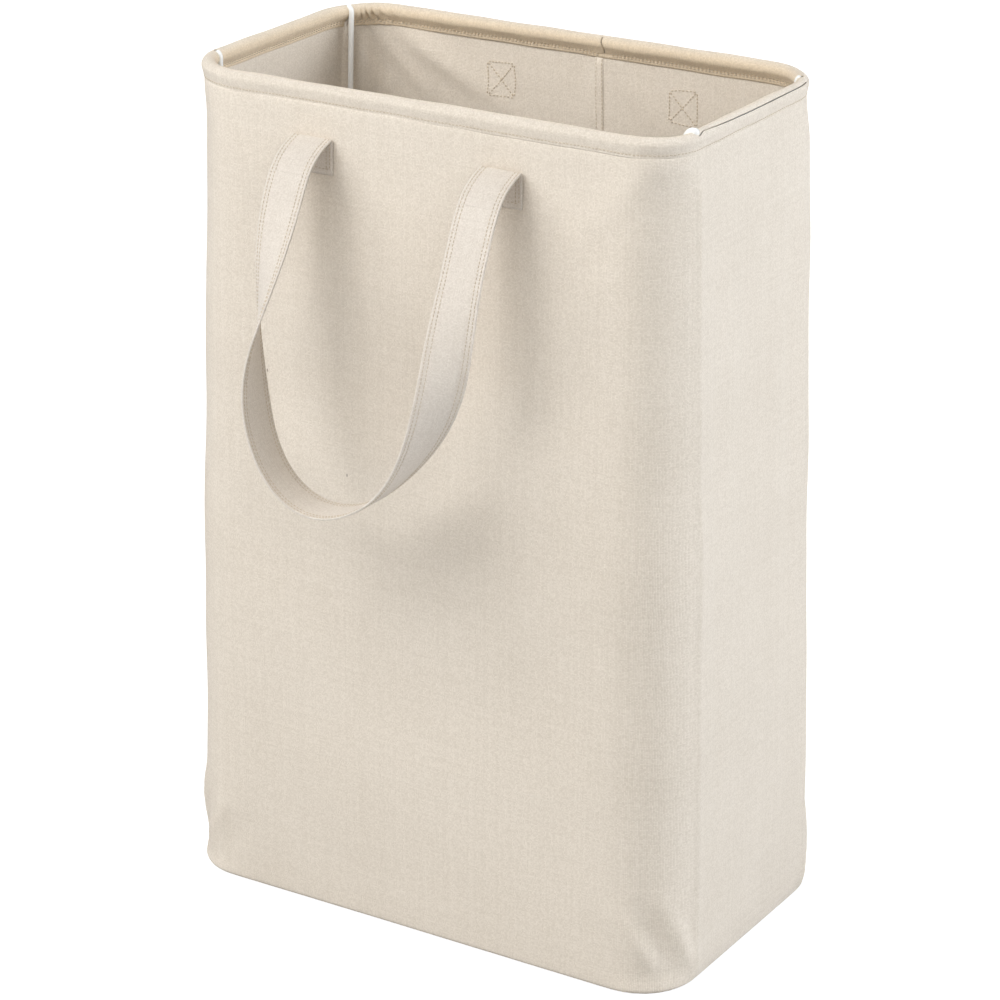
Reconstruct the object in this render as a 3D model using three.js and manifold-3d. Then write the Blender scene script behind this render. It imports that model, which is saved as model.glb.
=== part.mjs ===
// A collapsible cloth laundry hamper: a canvas bag held open by a wire ring in
// its rim and four stiff rods, with a strap handle on the front and the back.
// Millimetres, +Z up, the front faces -Y, the origin is on the floor under the
// middle of the bag.

import * as THREE from 'three';
import { mergeVertices } from 'three/addons/utils/BufferGeometryUtils.js';
import Module from 'manifold-3d';

const wasm = await Module();
wasm.setup();

// Bag
const bagWidth = 390;
const bagDepth = 220;
const rimHeight = 610;
const cornerRadius = 28;
const wallThickness = 1.6;
const bottomThickness = 1.6;
const boardThickness = 4;
const boardClearance = 0.5;
const seatGap = 0.3;
const cutOverrun = 2;

// Rim hem and the wire ring inside it
const hemHeight = 12;
const hemRadius = 5;
const hemCloth = 1.2;
const hemProud = 1.5;
const hemStitchBand = 3;
const sideSlitWidth = 0.8;
const sideSlitInset = 1;
const wireRadius = 1.9;
const sleeveWall = 0.6;
const sleeveLength = 24;
const wireEndGap = 1;
const seamOffset = 14;
const slitWidth = 1.2;

// Support rods, the tips on their feet and their pockets
const rodRadius = 2;
const neckRadius = 1.6;
const shoulderDrop = 0.7;
const shoulderRun = 1.6;
const hookRelief = 0.2;
const hookEndDeg = 80;
const frontRodMargin = 12;
const backRodMargin = 4;
const tipWall = 0.9;
const tipLength = 12;
const tipFloor = 2;
const rodLeanDeg = 16;
const pocketHeight = 18;
const pocketWidth = 16;
const pocketWall = 1.5;
const pocketSlack = 0.4;
const notchClearance = 1;

// Strap handles
const strapWidth = 32;
const strapThickness = 1.8;
const handleSpacing = 150;
const handleOffset = 7;
const handleDrop = 39;
const tailLength = 26;
const handleRootDrop = 14;
const handleStraightLength = 130;
const handleBowDepth = 105;
const handleStandOff = 24;
const handleBend = 7;
const handleReach = 104;
const handleSettle = 54;
const handleSway = 16;
const handleTwistStartLeft = 45;
const handleTwistEndLeft = 240;
const handleTwistStartRight = 80;
const handleTwistEndRight = 255;

// Facet counts
const cornerSteps = 8;
const hemSteps = 10;
const wireSides = 10;
const rodSides = 12;
const domeRings = 4;
const hookSteps = 8;
const rootStations = 4;
const straightStations = 14;
const bowStations = 20;
const foldCrowding = 1.5;
const tinyStep = 1e-4;
const weldDistance = 1e-4;

// Worked out from the sizes above
const halfWidth = bagWidth / 2;
const halfDepth = bagDepth / 2;
const hemBottom = rimHeight - hemHeight;
const sleeveRadius = wireRadius + seatGap + sleeveWall;
const channelRadius = hemRadius - hemCloth;
const wireOffset = hemProud - hemRadius;
const wireHeight = rimHeight - hemRadius;
const boardBottom = bottomThickness + seatGap;
const boardTop = boardBottom + boardThickness;
const tipRadius = rodRadius + seatGap + tipWall;
const footHeight = boardTop + seatGap + tipRadius;
const hookRadius = wireRadius + seatGap + neckRadius;
const rodX = halfWidth + wireOffset - hookRadius - hookRelief;
const foldHeight = rimHeight - handleDrop;
const degree = Math.PI / 180;
const quarterTurn = Math.PI / 2;
const halfTurn = Math.PI;
const fullTurn = 2 * Math.PI;

const canvas = { color: 0xe1d7c6, roughness: 0.95, metalness: 0 };
const canvasInside = { color: 0xd9cbb2, roughness: 0.95, metalness: 0 };
const webbing = { color: 0xe4dac8, roughness: 0.9, metalness: 0 };
const whitePlastic = { color: 0xf2f1ec, roughness: 0.45, metalness: 0 };
const fibreboard = { color: 0xb59a74, roughness: 0.9, metalness: 0 };
const steel = { color: 0xaeb2b5, roughness: 0.35, metalness: 1 };

// Closed body from any geometry: shared corners, no empty faces, facing out
function closedBody(source) {
  const bare = source.index ? source.toNonIndexed() : source.clone();
  bare.deleteAttribute('normal');
  bare.deleteAttribute('uv');
  const merged = mergeVertices(bare, weldDistance);
  const corner = merged.index.array;
  const place = merged.getAttribute('position');
  const kept = [];
  let volume = 0;
  const a = new THREE.Vector3();
  const b = new THREE.Vector3();
  const c = new THREE.Vector3();
  for (let i = 0; i < corner.length; i += 3) {
    const [p, q, r] = corner.slice(i, i + 3);
    if (p === q || q === r || r === p) continue;
    a.fromBufferAttribute(place, p);
    b.fromBufferAttribute(place, q);
    c.fromBufferAttribute(place, r);
    volume += a.dot(b.cross(c)) / 6;
    kept.push(p, q, r);
  }
  if (volume < 0) {
    kept.reverse();
  }
  merged.setIndex(kept);
  return merged;
}

function toManifold(geometry) {
  const body = closedBody(geometry);
  return new wasm.Manifold(new wasm.Mesh({
    numProp: 3,
    vertProperties: new Float32Array(body.getAttribute('position').array),
    triVerts: new Uint32Array(body.index.array),
  }));
}

function fromManifold(solid) {
  const mesh = solid.getMesh();
  const geometry = new THREE.BufferGeometry();
  geometry.setAttribute('position', new THREE.BufferAttribute(new Float32Array(mesh.vertProperties), 3));
  geometry.setIndex(Array.from(mesh.triVerts));
  return geometry;
}

function cut(body, ...tools) {
  return fromManifold(tools.reduce((left, tool) => left.subtract(toManifold(tool)), toManifold(body)));
}

function piece(name, geometry, finish) {
  const material = new THREE.MeshStandardMaterial({ ...finish, flatShading: true });
  const mesh = new THREE.Mesh(closedBody(geometry), material);
  mesh.name = name;
  return mesh;
}

// Box between two corners
function block(low, high) {
  const size = high.map((value, axis) => value - low[axis]);
  const box = new THREE.BoxGeometry(...size);
  box.translate(...low.map((value, axis) => value + size[axis] / 2));
  return box;
}

// Box beside the left or the right wall, between distances from the middle of the bag
function sideBlock(side, [near, far], [front, back], [low, high]) {
  const ends = [side * near, side * far].sort((p, q) => p - q);
  return block([ends[0], front, low], [ends[1], back, high]);
}

// Extrusion of a shape drawn in the XZ plane, centred on Y
function slabXZ(shape, thickness) {
  const slab = new THREE.ExtrudeGeometry(shape, { depth: thickness, bevelEnabled: false });
  slab.translate(0, 0, -thickness / 2);
  slab.rotateX(quarterTurn);
  return slab;
}

// Outside line of the bag: points of a rounded rectangle with their outward directions
function bagOutline() {
  const stations = [];
  const centres = [[1, -1], [1, 1], [-1, 1], [-1, -1]];
  centres.forEach(([sideX, sideY], quarter) => {
    for (let step = 0; step <= cornerSteps; step++) {
      const angle = (quarter - 1 + step / cornerSteps) * quarterTurn;
      const outward = new THREE.Vector2(Math.cos(angle), Math.sin(angle));
      const point = new THREE.Vector2(sideX * (halfWidth - cornerRadius), sideY * (halfDepth - cornerRadius));
      point.addScaledVector(outward, cornerRadius);
      stations.push({ point, outward });
    }
  });
  return stations;
}

// A closed profile of [offset from the outside line, height] carried once round the bag
function roundTheBag(profile) {
  const stations = bagOutline();
  const positions = [];
  const faces = [];
  const rows = profile.length;
  stations.forEach(({ point, outward }, station) => {
    profile.forEach(([offset, z], row) => {
      positions.push(point.x + outward.x * offset, point.y + outward.y * offset, z);
      const next = ((station + 1) % stations.length) * rows;
      const here = station * rows;
      const above = (row + 1) % rows;
      faces.push(here + row, next + row, here + above, here + above, next + row, next + above);
    });
  });
  const geometry = new THREE.BufferGeometry();
  geometry.setAttribute('position', new THREE.Float32BufferAttribute(positions, 3));
  geometry.setIndex(faces);
  return geometry;
}

// Flat plate with the bag's outline, drawn in by an inset
function bagPlate(inset, low, high) {
  const points = bagOutline().map(({ point, outward }) => point.clone().addScaledVector(outward, -inset));
  const options = { depth: high - low, bevelEnabled: false };
  const plate = new THREE.ExtrudeGeometry(new THREE.Shape(points), options);
  plate.translate(0, 0, low);
  return plate;
}

// Drop-shaped profile of the hem: round over the ring, then straight down to its feet
function dropProfile(radius, outerFoot, innerFoot) {
  const tangent = ([offset, z], turn) => {
    const across = offset - wireOffset;
    const down = z - wireHeight;
    return Math.atan2(down, across) + turn * Math.acos(radius / Math.hypot(across, down));
  };
  const start = tangent(outerFoot, 1);
  const end = tangent(innerFoot, -1) + fullTurn;
  const profile = [];
  for (let step = 0; step <= hemSteps; step++) {
    const angle = start + ((end - start) * step) / hemSteps;
    profile.push([wireOffset + radius * Math.cos(angle), wireHeight + radius * Math.sin(angle)]);
  }
  profile.push(innerFoot);
  if (innerFoot !== outerFoot) {
    profile.push(outerFoot);
  }
  return profile;
}

function wireProfile() {
  const profile = [];
  for (let side = 0; side < wireSides; side++) {
    const angle = (fullTurn * side) / wireSides;
    profile.push([wireOffset + wireRadius * Math.cos(angle), wireHeight + wireRadius * Math.sin(angle)]);
  }
  return profile;
}

const frontRodY = -(halfDepth - cornerRadius - frontRodMargin);
const backRodY = halfDepth - cornerRadius - backRodMargin;
const rodPlaces = [
  { name: 'front_left', side: -1, y: frontRodY },
  { name: 'front_right', side: 1, y: frontRodY },
  { name: 'back_left', side: -1, y: backRodY },
  { name: 'back_right', side: 1, y: backRodY },
];

// Wall cloth: one length of canvas round the bag, from the bottom to the stitch line
function makeWall() {
  const low = bottomThickness + seatGap;
  const high = hemBottom - seatGap;
  return roundTheBag([[0, low], [0, high], [-wallThickness, high], [-wallThickness, low]]);
}

// Hem: canvas turned over the ring, with a notch at each rod and a slit by the back seam
function makeHem() {
  const outside = roundTheBag(dropProfile(hemRadius, [0, hemBottom], [-wallThickness, hemBottom]));
  const channelFoot = [-wallThickness / 2, hemBottom + hemStitchBand];
  const channel = roundTheBag(dropProfile(channelRadius, channelFoot, channelFoot));
  const hookTip = hookRadius * Math.cos(hookEndDeg * degree) + neckRadius;
  const notchIn = halfWidth + wireOffset - hemRadius - cutOverrun;
  const notchOut = halfWidth + wireOffset + hookTip + seatGap;
  const notchHalf = rodRadius + notchClearance;
  const notchHeights = [hemBottom - cutOverrun, rimHeight + cutOverrun];
  const notches = rodPlaces.map(({ side, y }) => sideBlock(
    side, [notchIn, notchOut], [y - notchHalf, y + notchHalf], notchHeights,
  ));
  const slitIn = halfWidth - sideSlitInset - sideSlitWidth / 2;
  const sideSlits = [-1, 1].map((side) => sideBlock(
    side, [slitIn, slitIn + sideSlitWidth], [frontRodY, backRodY], [wireHeight, rimHeight + cutOverrun],
  ));
  const wireY = halfDepth + wireOffset;
  const slit = block(
    [seamOffset - slitWidth / 2, wireY - hemRadius - cutOverrun, hemBottom + hemStitchBand],
    [seamOffset + slitWidth / 2, wireY, wireHeight],
  );
  return cut(outside, channel, ...notches, ...sideSlits, slit);
}

// Ring: one wire bent to the bag's outline, its ends meeting in the sleeve
function makeRing() {
  const wireY = halfDepth + wireOffset;
  const reach = wireRadius + cutOverrun;
  const gap = block(
    [seamOffset - wireEndGap / 2, wireY - reach, wireHeight - reach],
    [seamOffset + wireEndGap / 2, wireY + reach, wireHeight + reach],
  );
  return cut(roundTheBag(wireProfile()), gap);
}

function makeSleeve() {
  const bore = wireRadius + seatGap;
  const half = sleeveLength / 2;
  const profile = [[bore, -half], [sleeveRadius, -half], [sleeveRadius, half], [bore, half], [bore, -half]];
  const tube = new THREE.LatheGeometry(profile.map(([r, h]) => new THREE.Vector2(r, h)), rodSides);
  tube.rotateZ(quarterTurn);
  return tube;
}

// Round bar along a path in the XZ plane: each station has a centre, the direction
// in which the bar runs and a radius, and the bar is closed by a point at each end
function roundBar(stations, start, end) {
  const positions = [start.x, 0, start.z];
  const faces = [];
  stations.forEach(({ x, z, heading, radius }, station) => {
    for (let side = 0; side < rodSides; side++) {
      const angle = (fullTurn * side) / rodSides;
      const across = radius * Math.cos(angle);
      const around = radius * Math.sin(angle);
      positions.push(x - across * Math.sin(heading), around, z + across * Math.cos(heading));
      const here = 1 + station * rodSides;
      const next = (side + 1) % rodSides;
      if (station === 0) {
        faces.push(0, here + next, here + side);
      } else {
        faces.push(here - rodSides + side, here - rodSides + next, here + side);
        faces.push(here - rodSides + next, here + next, here + side);
      }
    }
  });
  const last = 1 + (stations.length - 1) * rodSides;
  positions.push(end.x, 0, end.z);
  for (let side = 0; side < rodSides; side++) {
    faces.push(last + side, last + ((side + 1) % rodSides), last + rodSides);
  }
  const geometry = new THREE.BufferGeometry();
  geometry.setAttribute('position', new THREE.Float32BufferAttribute(positions, 3));
  geometry.setIndex(faces);
  return geometry;
}

// Rod: white coated rod on its own axis. Its shoulder stands under the ring, and its
// neck bends outwards over the ring and ends in a round nose.
function makeRod() {
  const low = footHeight - tipRadius + tipFloor + seatGap;
  const shoulder = wireHeight - wireRadius - shoulderDrop;
  const stations = [
    { x: 0, z: low, heading: quarterTurn, radius: rodRadius },
    { x: 0, z: shoulder, heading: quarterTurn, radius: rodRadius },
    { x: 0, z: shoulder + shoulderRun, heading: quarterTurn, radius: neckRadius },
  ];
  const end = hookEndDeg * degree;
  const around = (angle, past) => ({
    x: hookRadius * (1 + Math.cos(angle)) + past * Math.sin(angle),
    z: wireHeight + hookRadius * Math.sin(angle) - past * Math.cos(angle),
  });
  for (let step = 0; step <= hookSteps; step++) {
    const angle = halfTurn + ((end - halfTurn) * step) / hookSteps;
    stations.push({ ...around(angle, 0), heading: angle - quarterTurn, radius: neckRadius });
  }
  for (let ring = 1; ring < domeRings; ring++) {
    const turn = (quarterTurn * ring) / domeRings;
    const nose = around(end, neckRadius * Math.sin(turn));
    stations.push({ ...nose, heading: end - quarterTurn, radius: neckRadius * Math.cos(turn) });
  }
  return roundBar(stations, { x: 0, z: low }, around(end, neckRadius));
}

// Tip: white moulded cup on the rod's foot, with a round end to lean on
function makeTip() {
  const bore = rodRadius + seatGap;
  const low = footHeight - tipRadius;
  const profile = [];
  for (let ring = 0; ring <= domeRings; ring++) {
    const turn = (quarterTurn * ring) / domeRings;
    profile.push([tipRadius * Math.sin(turn), footHeight - tipRadius * Math.cos(turn)]);
  }
  profile.push([tipRadius, low + tipLength], [bore, low + tipLength]);
  profile.push([bore, low + tipFloor], [0, low + tipFloor]);
  const tip = new THREE.LatheGeometry(profile.map(([r, h]) => new THREE.Vector2(r, h)), rodSides);
  tip.rotateX(quarterTurn);
  return tip;
}

// Pocket: keeps the foot in its corner and leaves room for the rod to lean inwards
function makePocket(rodY) {
  const low = boardTop + seatGap;
  const high = low + pocketHeight;
  const lean = rodLeanDeg * degree;
  const grip = tipRadius + pocketSlack;
  const reach = (high + cutOverrun - footHeight) * Math.tan(lean) + tipRadius / Math.cos(lean) + pocketSlack;
  const back = wallInside(Math.abs(rodY) + pocketWidth / 2) - seatGap - rodX;
  const bag = block([-(reach + pocketWall), -pocketWidth / 2, low], [back, pocketWidth / 2, high]);
  const slot = new THREE.Shape([
    new THREE.Vector2(-grip, low - cutOverrun),
    new THREE.Vector2(grip, low - cutOverrun),
    new THREE.Vector2(grip, high + cutOverrun),
    new THREE.Vector2(-reach, high + cutOverrun),
    new THREE.Vector2(-grip, footHeight),
  ]);
  return cut(bag, slabXZ(slot, 2 * grip));
}

// Inside face of the side wall at a given distance from the middle of the bag
function wallInside(y) {
  const past = Math.max(0, y - (halfDepth - cornerRadius));
  const radius = cornerRadius - wallThickness;
  return halfWidth - cornerRadius + Math.sqrt(radius * radius - past * past);
}

// Middle line of a strap in its own frame, from the fold at the origin. It stands off
// the wall in a short bend, falls away ever more steeply, and its bow sways sideways.
function strapPoint(x, drop) {
  const share = drop / (handleStraightLength + handleBowDepth);
  const bend = handleStandOff * (1 - Math.exp(-drop / handleBend));
  const out = bend + handleReach * share - handleSettle * share * share;
  return new THREE.Vector3(x - handleSway * share ** 3, -out, -drop);
}

// Where the middle line is, which way it runs there and which way is out of the loop
function station(at, place, ahead, side) {
  const along = at(place + ahead).sub(at(place - ahead)).normalize();
  return { centre: at(place), along, side };
}

// One leg of the strap, with its stations closer together near the fold
function legStations(side, from, to, count) {
  const at = (drop) => strapPoint((side * handleSpacing) / 2, drop);
  const outwards = new THREE.Vector3(side, 0, 0);
  return Array.from({ length: count + 1 }, (_, step) => {
    const drop = from + (to - from) * (step / count) ** foldCrowding;
    return station(at, drop, -side * tinyStep, outwards);
  });
}

// The bow between both legs, half an ellipse
function bowLine() {
  const half = handleSpacing / 2;
  const at = (angle) => {
    const drop = handleStraightLength - handleBowDepth * Math.sin(angle);
    return strapPoint(half * Math.cos(angle), drop);
  };
  return Array.from({ length: bowStations - 1 }, (_, step) => {
    const angle = (1 + (step + 1) / bowStations) * halfTurn;
    const out = Math.atan2(half * Math.sin(angle), handleBowDepth * Math.cos(angle));
    return station(at, angle, tinyStep, new THREE.Vector3(Math.cos(out), 0, Math.sin(out)));
  });
}

// Share of a quarter turn that the strap has made at a distance from its fold
function twistAt(run, start, end) {
  const share = Math.min(1, Math.max(0, (run - start) / (end - start)));
  return share * share * (3 - 2 * share) * quarterTurn;
}

// The whole strap from its left fold to its right fold: root, leg, bow, leg, root
function strapLine() {
  const loopStart = handleRootDrop + seatGap;
  const [left, right] = [-1, 1].map((side) => ({
    root: legStations(side, 0, handleRootDrop, rootStations),
    leg: legStations(side, loopStart, handleStraightLength, straightStations),
  }));
  const loop = [...left.leg, ...bowLine(), ...right.leg.reverse()];
  const all = [...left.root, ...loop, ...right.root.reverse()];
  let run = 0;
  all.forEach((here, i) => {
    run += i ? here.centre.distanceTo(all[i - 1].centre) : 0;
    here.run = run;
  });
  const front = new THREE.Vector3(0, -1, 0);
  all.forEach((here) => {
    const twist = here.run < run / 2
      ? twistAt(here.run, handleTwistStartLeft, handleTwistEndLeft)
      : twistAt(run - here.run, handleTwistStartRight, handleTwistEndRight);
    const face = front.clone().multiplyScalar(Math.cos(twist)).addScaledVector(here.side, Math.sin(twist));
    here.face = face.addScaledVector(here.along, -face.dot(here.along)).normalize();
    here.across = here.along.clone().cross(here.face);
  });
  return { left: left.root, loop, right: right.root };
}

// Flat band carried along stations, closed at both ends
function makeBand(stations) {
  const positions = [];
  const faces = [];
  stations.forEach(({ centre, face, across }, index) => {
    [[1, 1], [1, -1], [-1, -1], [-1, 1]].forEach(([wide, thick]) => {
      const corner = centre.clone().addScaledVector(across, (wide * strapWidth) / 2);
      corner.addScaledVector(face, (thick * strapThickness) / 2);
      positions.push(corner.x, corner.y, corner.z);
    });
    if (index === 0) return;
    for (let edge = 0; edge < 4; edge++) {
      const here = index * 4 + edge;
      const beside = index * 4 + ((edge + 1) % 4);
      faces.push(here - 4, here, beside - 4, beside - 4, here, beside);
    }
  });
  const last = (stations.length - 1) * 4;
  faces.push(0, 1, 2, 0, 2, 3, last, last + 2, last + 1, last, last + 3, last + 2);
  const geometry = new THREE.BufferGeometry();
  geometry.setAttribute('position', new THREE.Float32BufferAttribute(positions, 3));
  geometry.setIndex(faces);
  return geometry;
}

// End of a strap: sewn flat to the wall below the fold, and stiff where it stands off
function makeEnd(side, root) {
  const x = (side * handleSpacing) / 2;
  const half = strapWidth / 2;
  const top = strapThickness / 2;
  const flat = block([x - half, 0, top - tailLength], [x + half, strapThickness, top]);
  const [first, second] = side < 0 ? [root[0], root[1]] : [root.at(-1), root.at(-2)];
  const inwards = first.centre.clone().sub(second.centre).setLength((2 * strapThickness) / 3);
  const start = { ...first, centre: first.centre.clone().add(inwards) };
  const stations = side < 0 ? [start, ...root] : [...root, start];
  return fromManifold(toManifold(flat).add(toManifold(makeBand(stations))));
}

const hamper = new THREE.Group();

const bag = new THREE.Group();
bag.add(piece('bottom_cloth', bagPlate(0, 0, bottomThickness), canvas));
bag.add(piece('base_board', bagPlate(wallThickness + boardClearance, boardBottom, boardTop), fibreboard));
bag.add(piece('wall_cloth', makeWall(), canvas));

const rim = new THREE.Group();
rim.add(piece('rim_hem', makeHem(), canvas));
rim.add(piece('top_ring', makeRing(), steel));
const sleeve = piece('ring_sleeve', makeSleeve(), steel);
sleeve.position.set(seamOffset, halfDepth + wireOffset, wireHeight);
rim.add(sleeve);

rodPlaces.forEach(({ name, side, y }) => {
  const corner = new THREE.Group();
  corner.position.set(side * rodX, y, 0);
  corner.rotation.z = side > 0 ? 0 : halfTurn;
  corner.add(piece(`rod_pocket_${name}`, makePocket(y), canvasInside));
  corner.add(piece(`rod_${name}`, makeRod(), whitePlastic));
  corner.add(piece(`rod_tip_${name}`, makeTip(), whitePlastic));
  bag.add(corner);
});

const strap = strapLine();
[['front', 0], ['back', halfTurn]].forEach(([name, turn]) => {
  const wall = new THREE.Group();
  wall.rotation.z = turn;
  const fold = new THREE.Group();
  const foldY = -(halfDepth + seatGap + strapThickness);
  fold.position.set(-handleOffset, foldY, foldHeight - strapThickness / 2);
  fold.add(piece(`handle_end_${name}_left`, makeEnd(-1, strap.left), webbing));
  fold.add(piece(`handle_end_${name}_right`, makeEnd(1, strap.right), webbing));
  fold.add(piece(`handle_${name}`, makeBand(strap.loop), webbing));
  wall.add(fold);
  rim.add(wall);
});

hamper.add(bag, rim);

export default hamper;
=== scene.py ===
# %% [markdown]
# The object is a tall laundry hamper: a canvas bag on a stiff board. A steel ring lies
# in the hem at its mouth, and four white rods stand in pockets on the board and hook
# over that ring, so that the cloth is pulled straight. A strap handle hangs on the
# front and one on the back. The measured model is loaded first and never changes. All
# the cloth is then worked out around it, in metres, from the same few sizes.

# %% Load the measured model and keep the size of its box
import math

import bpy
import numpy as np
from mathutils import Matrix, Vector


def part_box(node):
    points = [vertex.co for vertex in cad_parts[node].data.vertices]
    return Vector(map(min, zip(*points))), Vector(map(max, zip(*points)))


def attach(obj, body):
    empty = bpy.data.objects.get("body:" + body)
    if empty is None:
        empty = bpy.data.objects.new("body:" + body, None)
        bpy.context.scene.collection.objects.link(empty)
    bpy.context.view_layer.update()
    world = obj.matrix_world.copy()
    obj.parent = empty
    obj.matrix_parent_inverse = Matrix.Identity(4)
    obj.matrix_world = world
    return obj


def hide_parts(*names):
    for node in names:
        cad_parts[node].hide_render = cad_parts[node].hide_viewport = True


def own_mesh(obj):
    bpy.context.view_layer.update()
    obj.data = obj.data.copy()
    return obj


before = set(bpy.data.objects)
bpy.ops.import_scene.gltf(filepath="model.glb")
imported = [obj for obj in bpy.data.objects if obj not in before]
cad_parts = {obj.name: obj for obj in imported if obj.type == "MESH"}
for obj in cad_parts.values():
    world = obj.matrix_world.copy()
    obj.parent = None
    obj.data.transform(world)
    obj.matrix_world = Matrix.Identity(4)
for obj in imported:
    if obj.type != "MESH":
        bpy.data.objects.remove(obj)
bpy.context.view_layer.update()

MM = 0.001

# %% [markdown]
# Each size of the real hamper is written once. The places of the wall, the hem, the
# ring and the board are read from the measured model, so the cloth always fits it. Only
# what the model doesn't state, such as how thick the cloth is and how far it flares out
# towards the floor, is chosen here from the photograph.

# %% Sizes of the bag, the hem and the ring
wall_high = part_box("wall_cloth")[1]
hem_low, hem_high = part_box("rim_hem")
ring_low, ring_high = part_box("top_ring")
board_low, board_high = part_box("base_board")
half_width, half_depth = wall_high.x, wall_high.y
corner_radius = 28 * MM
cloth = 1.6 * MM
wire_radius = (ring_high.z - ring_low.z) / 2
wire_height = (ring_high.z + ring_low.z) / 2
wire_offset = ring_high.x - wire_radius - half_width
hem_radius = hem_high.z - wire_height
hem_cloth = 1.0 * MM
wall_in_hem = 1.5 * MM
wall_top = hem_low.z + wall_in_hem
flare_of_short, flare_of_wide = 11 * MM, 10 * MM
mouth_inset = 1.0 * MM
rounder_at_mouth = [18 * MM, 20 * MM, 6 * MM, 20 * MM]
rounder_at_floor = 3.5 * MM

# %% [markdown]
# The photograph looks down on the front right corner from about four bag heights away.
# The place of the camera, the flare of the walls and the roundness of the corners were
# found together, by fitting the bag's whole silhouette to the one in the photo.

# %% Camera at the photograph's viewing angle
azimuth, elevation = math.radians(31.78), math.radians(21.78)
camera_distance = 2.515
focal_pixels, photo_pixels = 3530.6, 1000
aim_right, aim_height = -0.0018, 0.2919
camera_data = bpy.data.cameras.new("photo_camera")
camera_data.sensor_width = 36
camera_data.lens = focal_pixels * camera_data.sensor_width / photo_pixels
camera = bpy.data.objects.new("photo_camera", camera_data)
bpy.context.scene.collection.objects.link(camera)
bpy.context.scene.camera = camera
back = Vector((
    math.sin(azimuth) * math.cos(elevation),
    -math.cos(azimuth) * math.cos(elevation),
    math.sin(elevation),
))
sideways = Vector((math.cos(azimuth), math.sin(azimuth), 0))
aim = sideways * aim_right + Vector((0, 0, aim_height))
camera.location = aim + back * camera_distance
camera.rotation_euler = back.to_track_quat("Z", "Y").to_euler()
print("camera lens", round(camera_data.lens, 1), "mm, at", [round(x, 3) for x in camera.location])

# %% [markdown]
# Every cloth piece follows the bag's outline, a rectangle with round corners. One table
# of that outline serves them all. It is walked from the middle of the back wall, where
# the cloth's own seam lies on the real bag too, so the pattern of the weave has its
# seam where the cloth has one. The real ring is bent by hand, and three of its corners
# came out rounder than the fourth, so each corner may be pulled in by its own amount.

# %% The bag's outline, walked once round
def lengths_along(points):
    """Distance walked along a row of points."""
    return np.concatenate([[0], np.cumsum(np.linalg.norm(np.diff(points, axis=0), axis=1))])


def make_outline():
    """Places and outward directions on the outline, and the distance walked to each.

    Each corner is a quarter circle: centre plus radius times (cosine, sine). Straight
    walls join the quarter circles, so both ends of a wall have the same direction.
    """
    far_x, far_y = half_width - corner_radius, half_depth - corner_radius
    corners = [(-far_x, far_y, 90), (-far_x, -far_y, 180), (far_x, -far_y, 270), (far_x, far_y, 0)]
    places, outwards = [np.array([[0, half_depth]])], [np.array([[0.0, 1.0]])]
    for x, y, start in corners:
        angle = np.radians(start + np.linspace(0, 90, 49))
        outward = np.column_stack([np.cos(angle), np.sin(angle)])
        places.append(np.array([x, y]) + corner_radius * outward)
        outwards.append(outward)
    places, outwards = np.vstack(places + places[:1]), np.vstack(outwards + outwards[:1])
    return places, outwards, lengths_along(places)


outline_places, outline_outwards, outline_walked = make_outline()
perimeter = outline_walked[-1]
left_middle, front_middle, right_middle = (perimeter * share for share in (0.25, 0.5, 0.75))
straight_half = half_width - corner_radius
quarter_arc = corner_radius * math.pi / 4
corner_walks = [
    straight_half + quarter_arc,
    front_middle - straight_half - quarter_arc,
    front_middle + straight_half + quarter_arc,
    perimeter - straight_half - quarter_arc,
]


def corner_pull(walk, height):
    """How far the cloth lies inside the outline: a little at the mouth, more at corners.

    A corner of radius R + e touches the same two walls as one of radius R. On the old
    arc, at an angle a from its middle, its distance is the root of (R + e) squared minus
    (k sin a) squared, minus k cos a, minus R, with k = e times the root of two. Along the
    wall, e minus the distance from the arc takes the place of k sin a.
    """
    level = np.clip(height / hem_low.z, 0, 1)
    total = -mouth_inset * level
    for corner, most in zip(corner_walks, rounder_at_mouth):
        extra = rounder_at_floor + (most - rounder_at_floor) * level
        radius = corner_radius + extra
        away = np.abs(walk - corner)
        turn = np.minimum(away, quarter_arc) / corner_radius
        spread = extra * math.sqrt(2)
        on_arc = np.sqrt(radius**2 - (spread * np.sin(turn)) ** 2) - spread * np.cos(turn) - corner_radius
        left = np.clip(extra - (away - quarter_arc), 0, None)
        on_wall = np.sqrt(radius**2 - left**2) - radius
        total = total + np.where(away < quarter_arc, on_arc, on_wall)
    return total


def round_the_bag(walk, offset, height):
    """Points at a distance along the outline, pushed outwards by offset, at a height."""
    walk, offset, height = np.broadcast_arrays(walk, offset, height)
    along = walk % perimeter
    offset = offset + corner_pull(along, height)
    x, y, out_x, out_y = (
        np.interp(along, outline_walked, values)
        for values in (*outline_places.T, *outline_outwards.T)
    )
    return np.stack([x + out_x * offset, y + out_y * offset, height], axis=-1)


to_front, to_back = np.array([0, -1.0, 0]), np.array([0, 1.0, 0])


def out_of_bag(walk, offset, height):
    """The direction that points outwards there."""
    return (round_the_bag(walk, offset + 1 * MM, height) - round_the_bag(walk, offset, height)) / MM


print("once round the bag:", round(perimeter, 4), "m")

# %% [markdown]
# A surface here is a grid: rows go one way over the cloth and columns the other. The
# same helper turns any grid into a mesh and writes how far each point lies along the
# cloth, in metres, as its uv map, so the weave keeps its true size on every piece.

# %% Helpers that turn grids of points into pieces
def unit(vectors):
    """Each vector divided by its own length."""
    return vectors / np.linalg.norm(vectors, axis=-1, keepdims=True)


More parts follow.
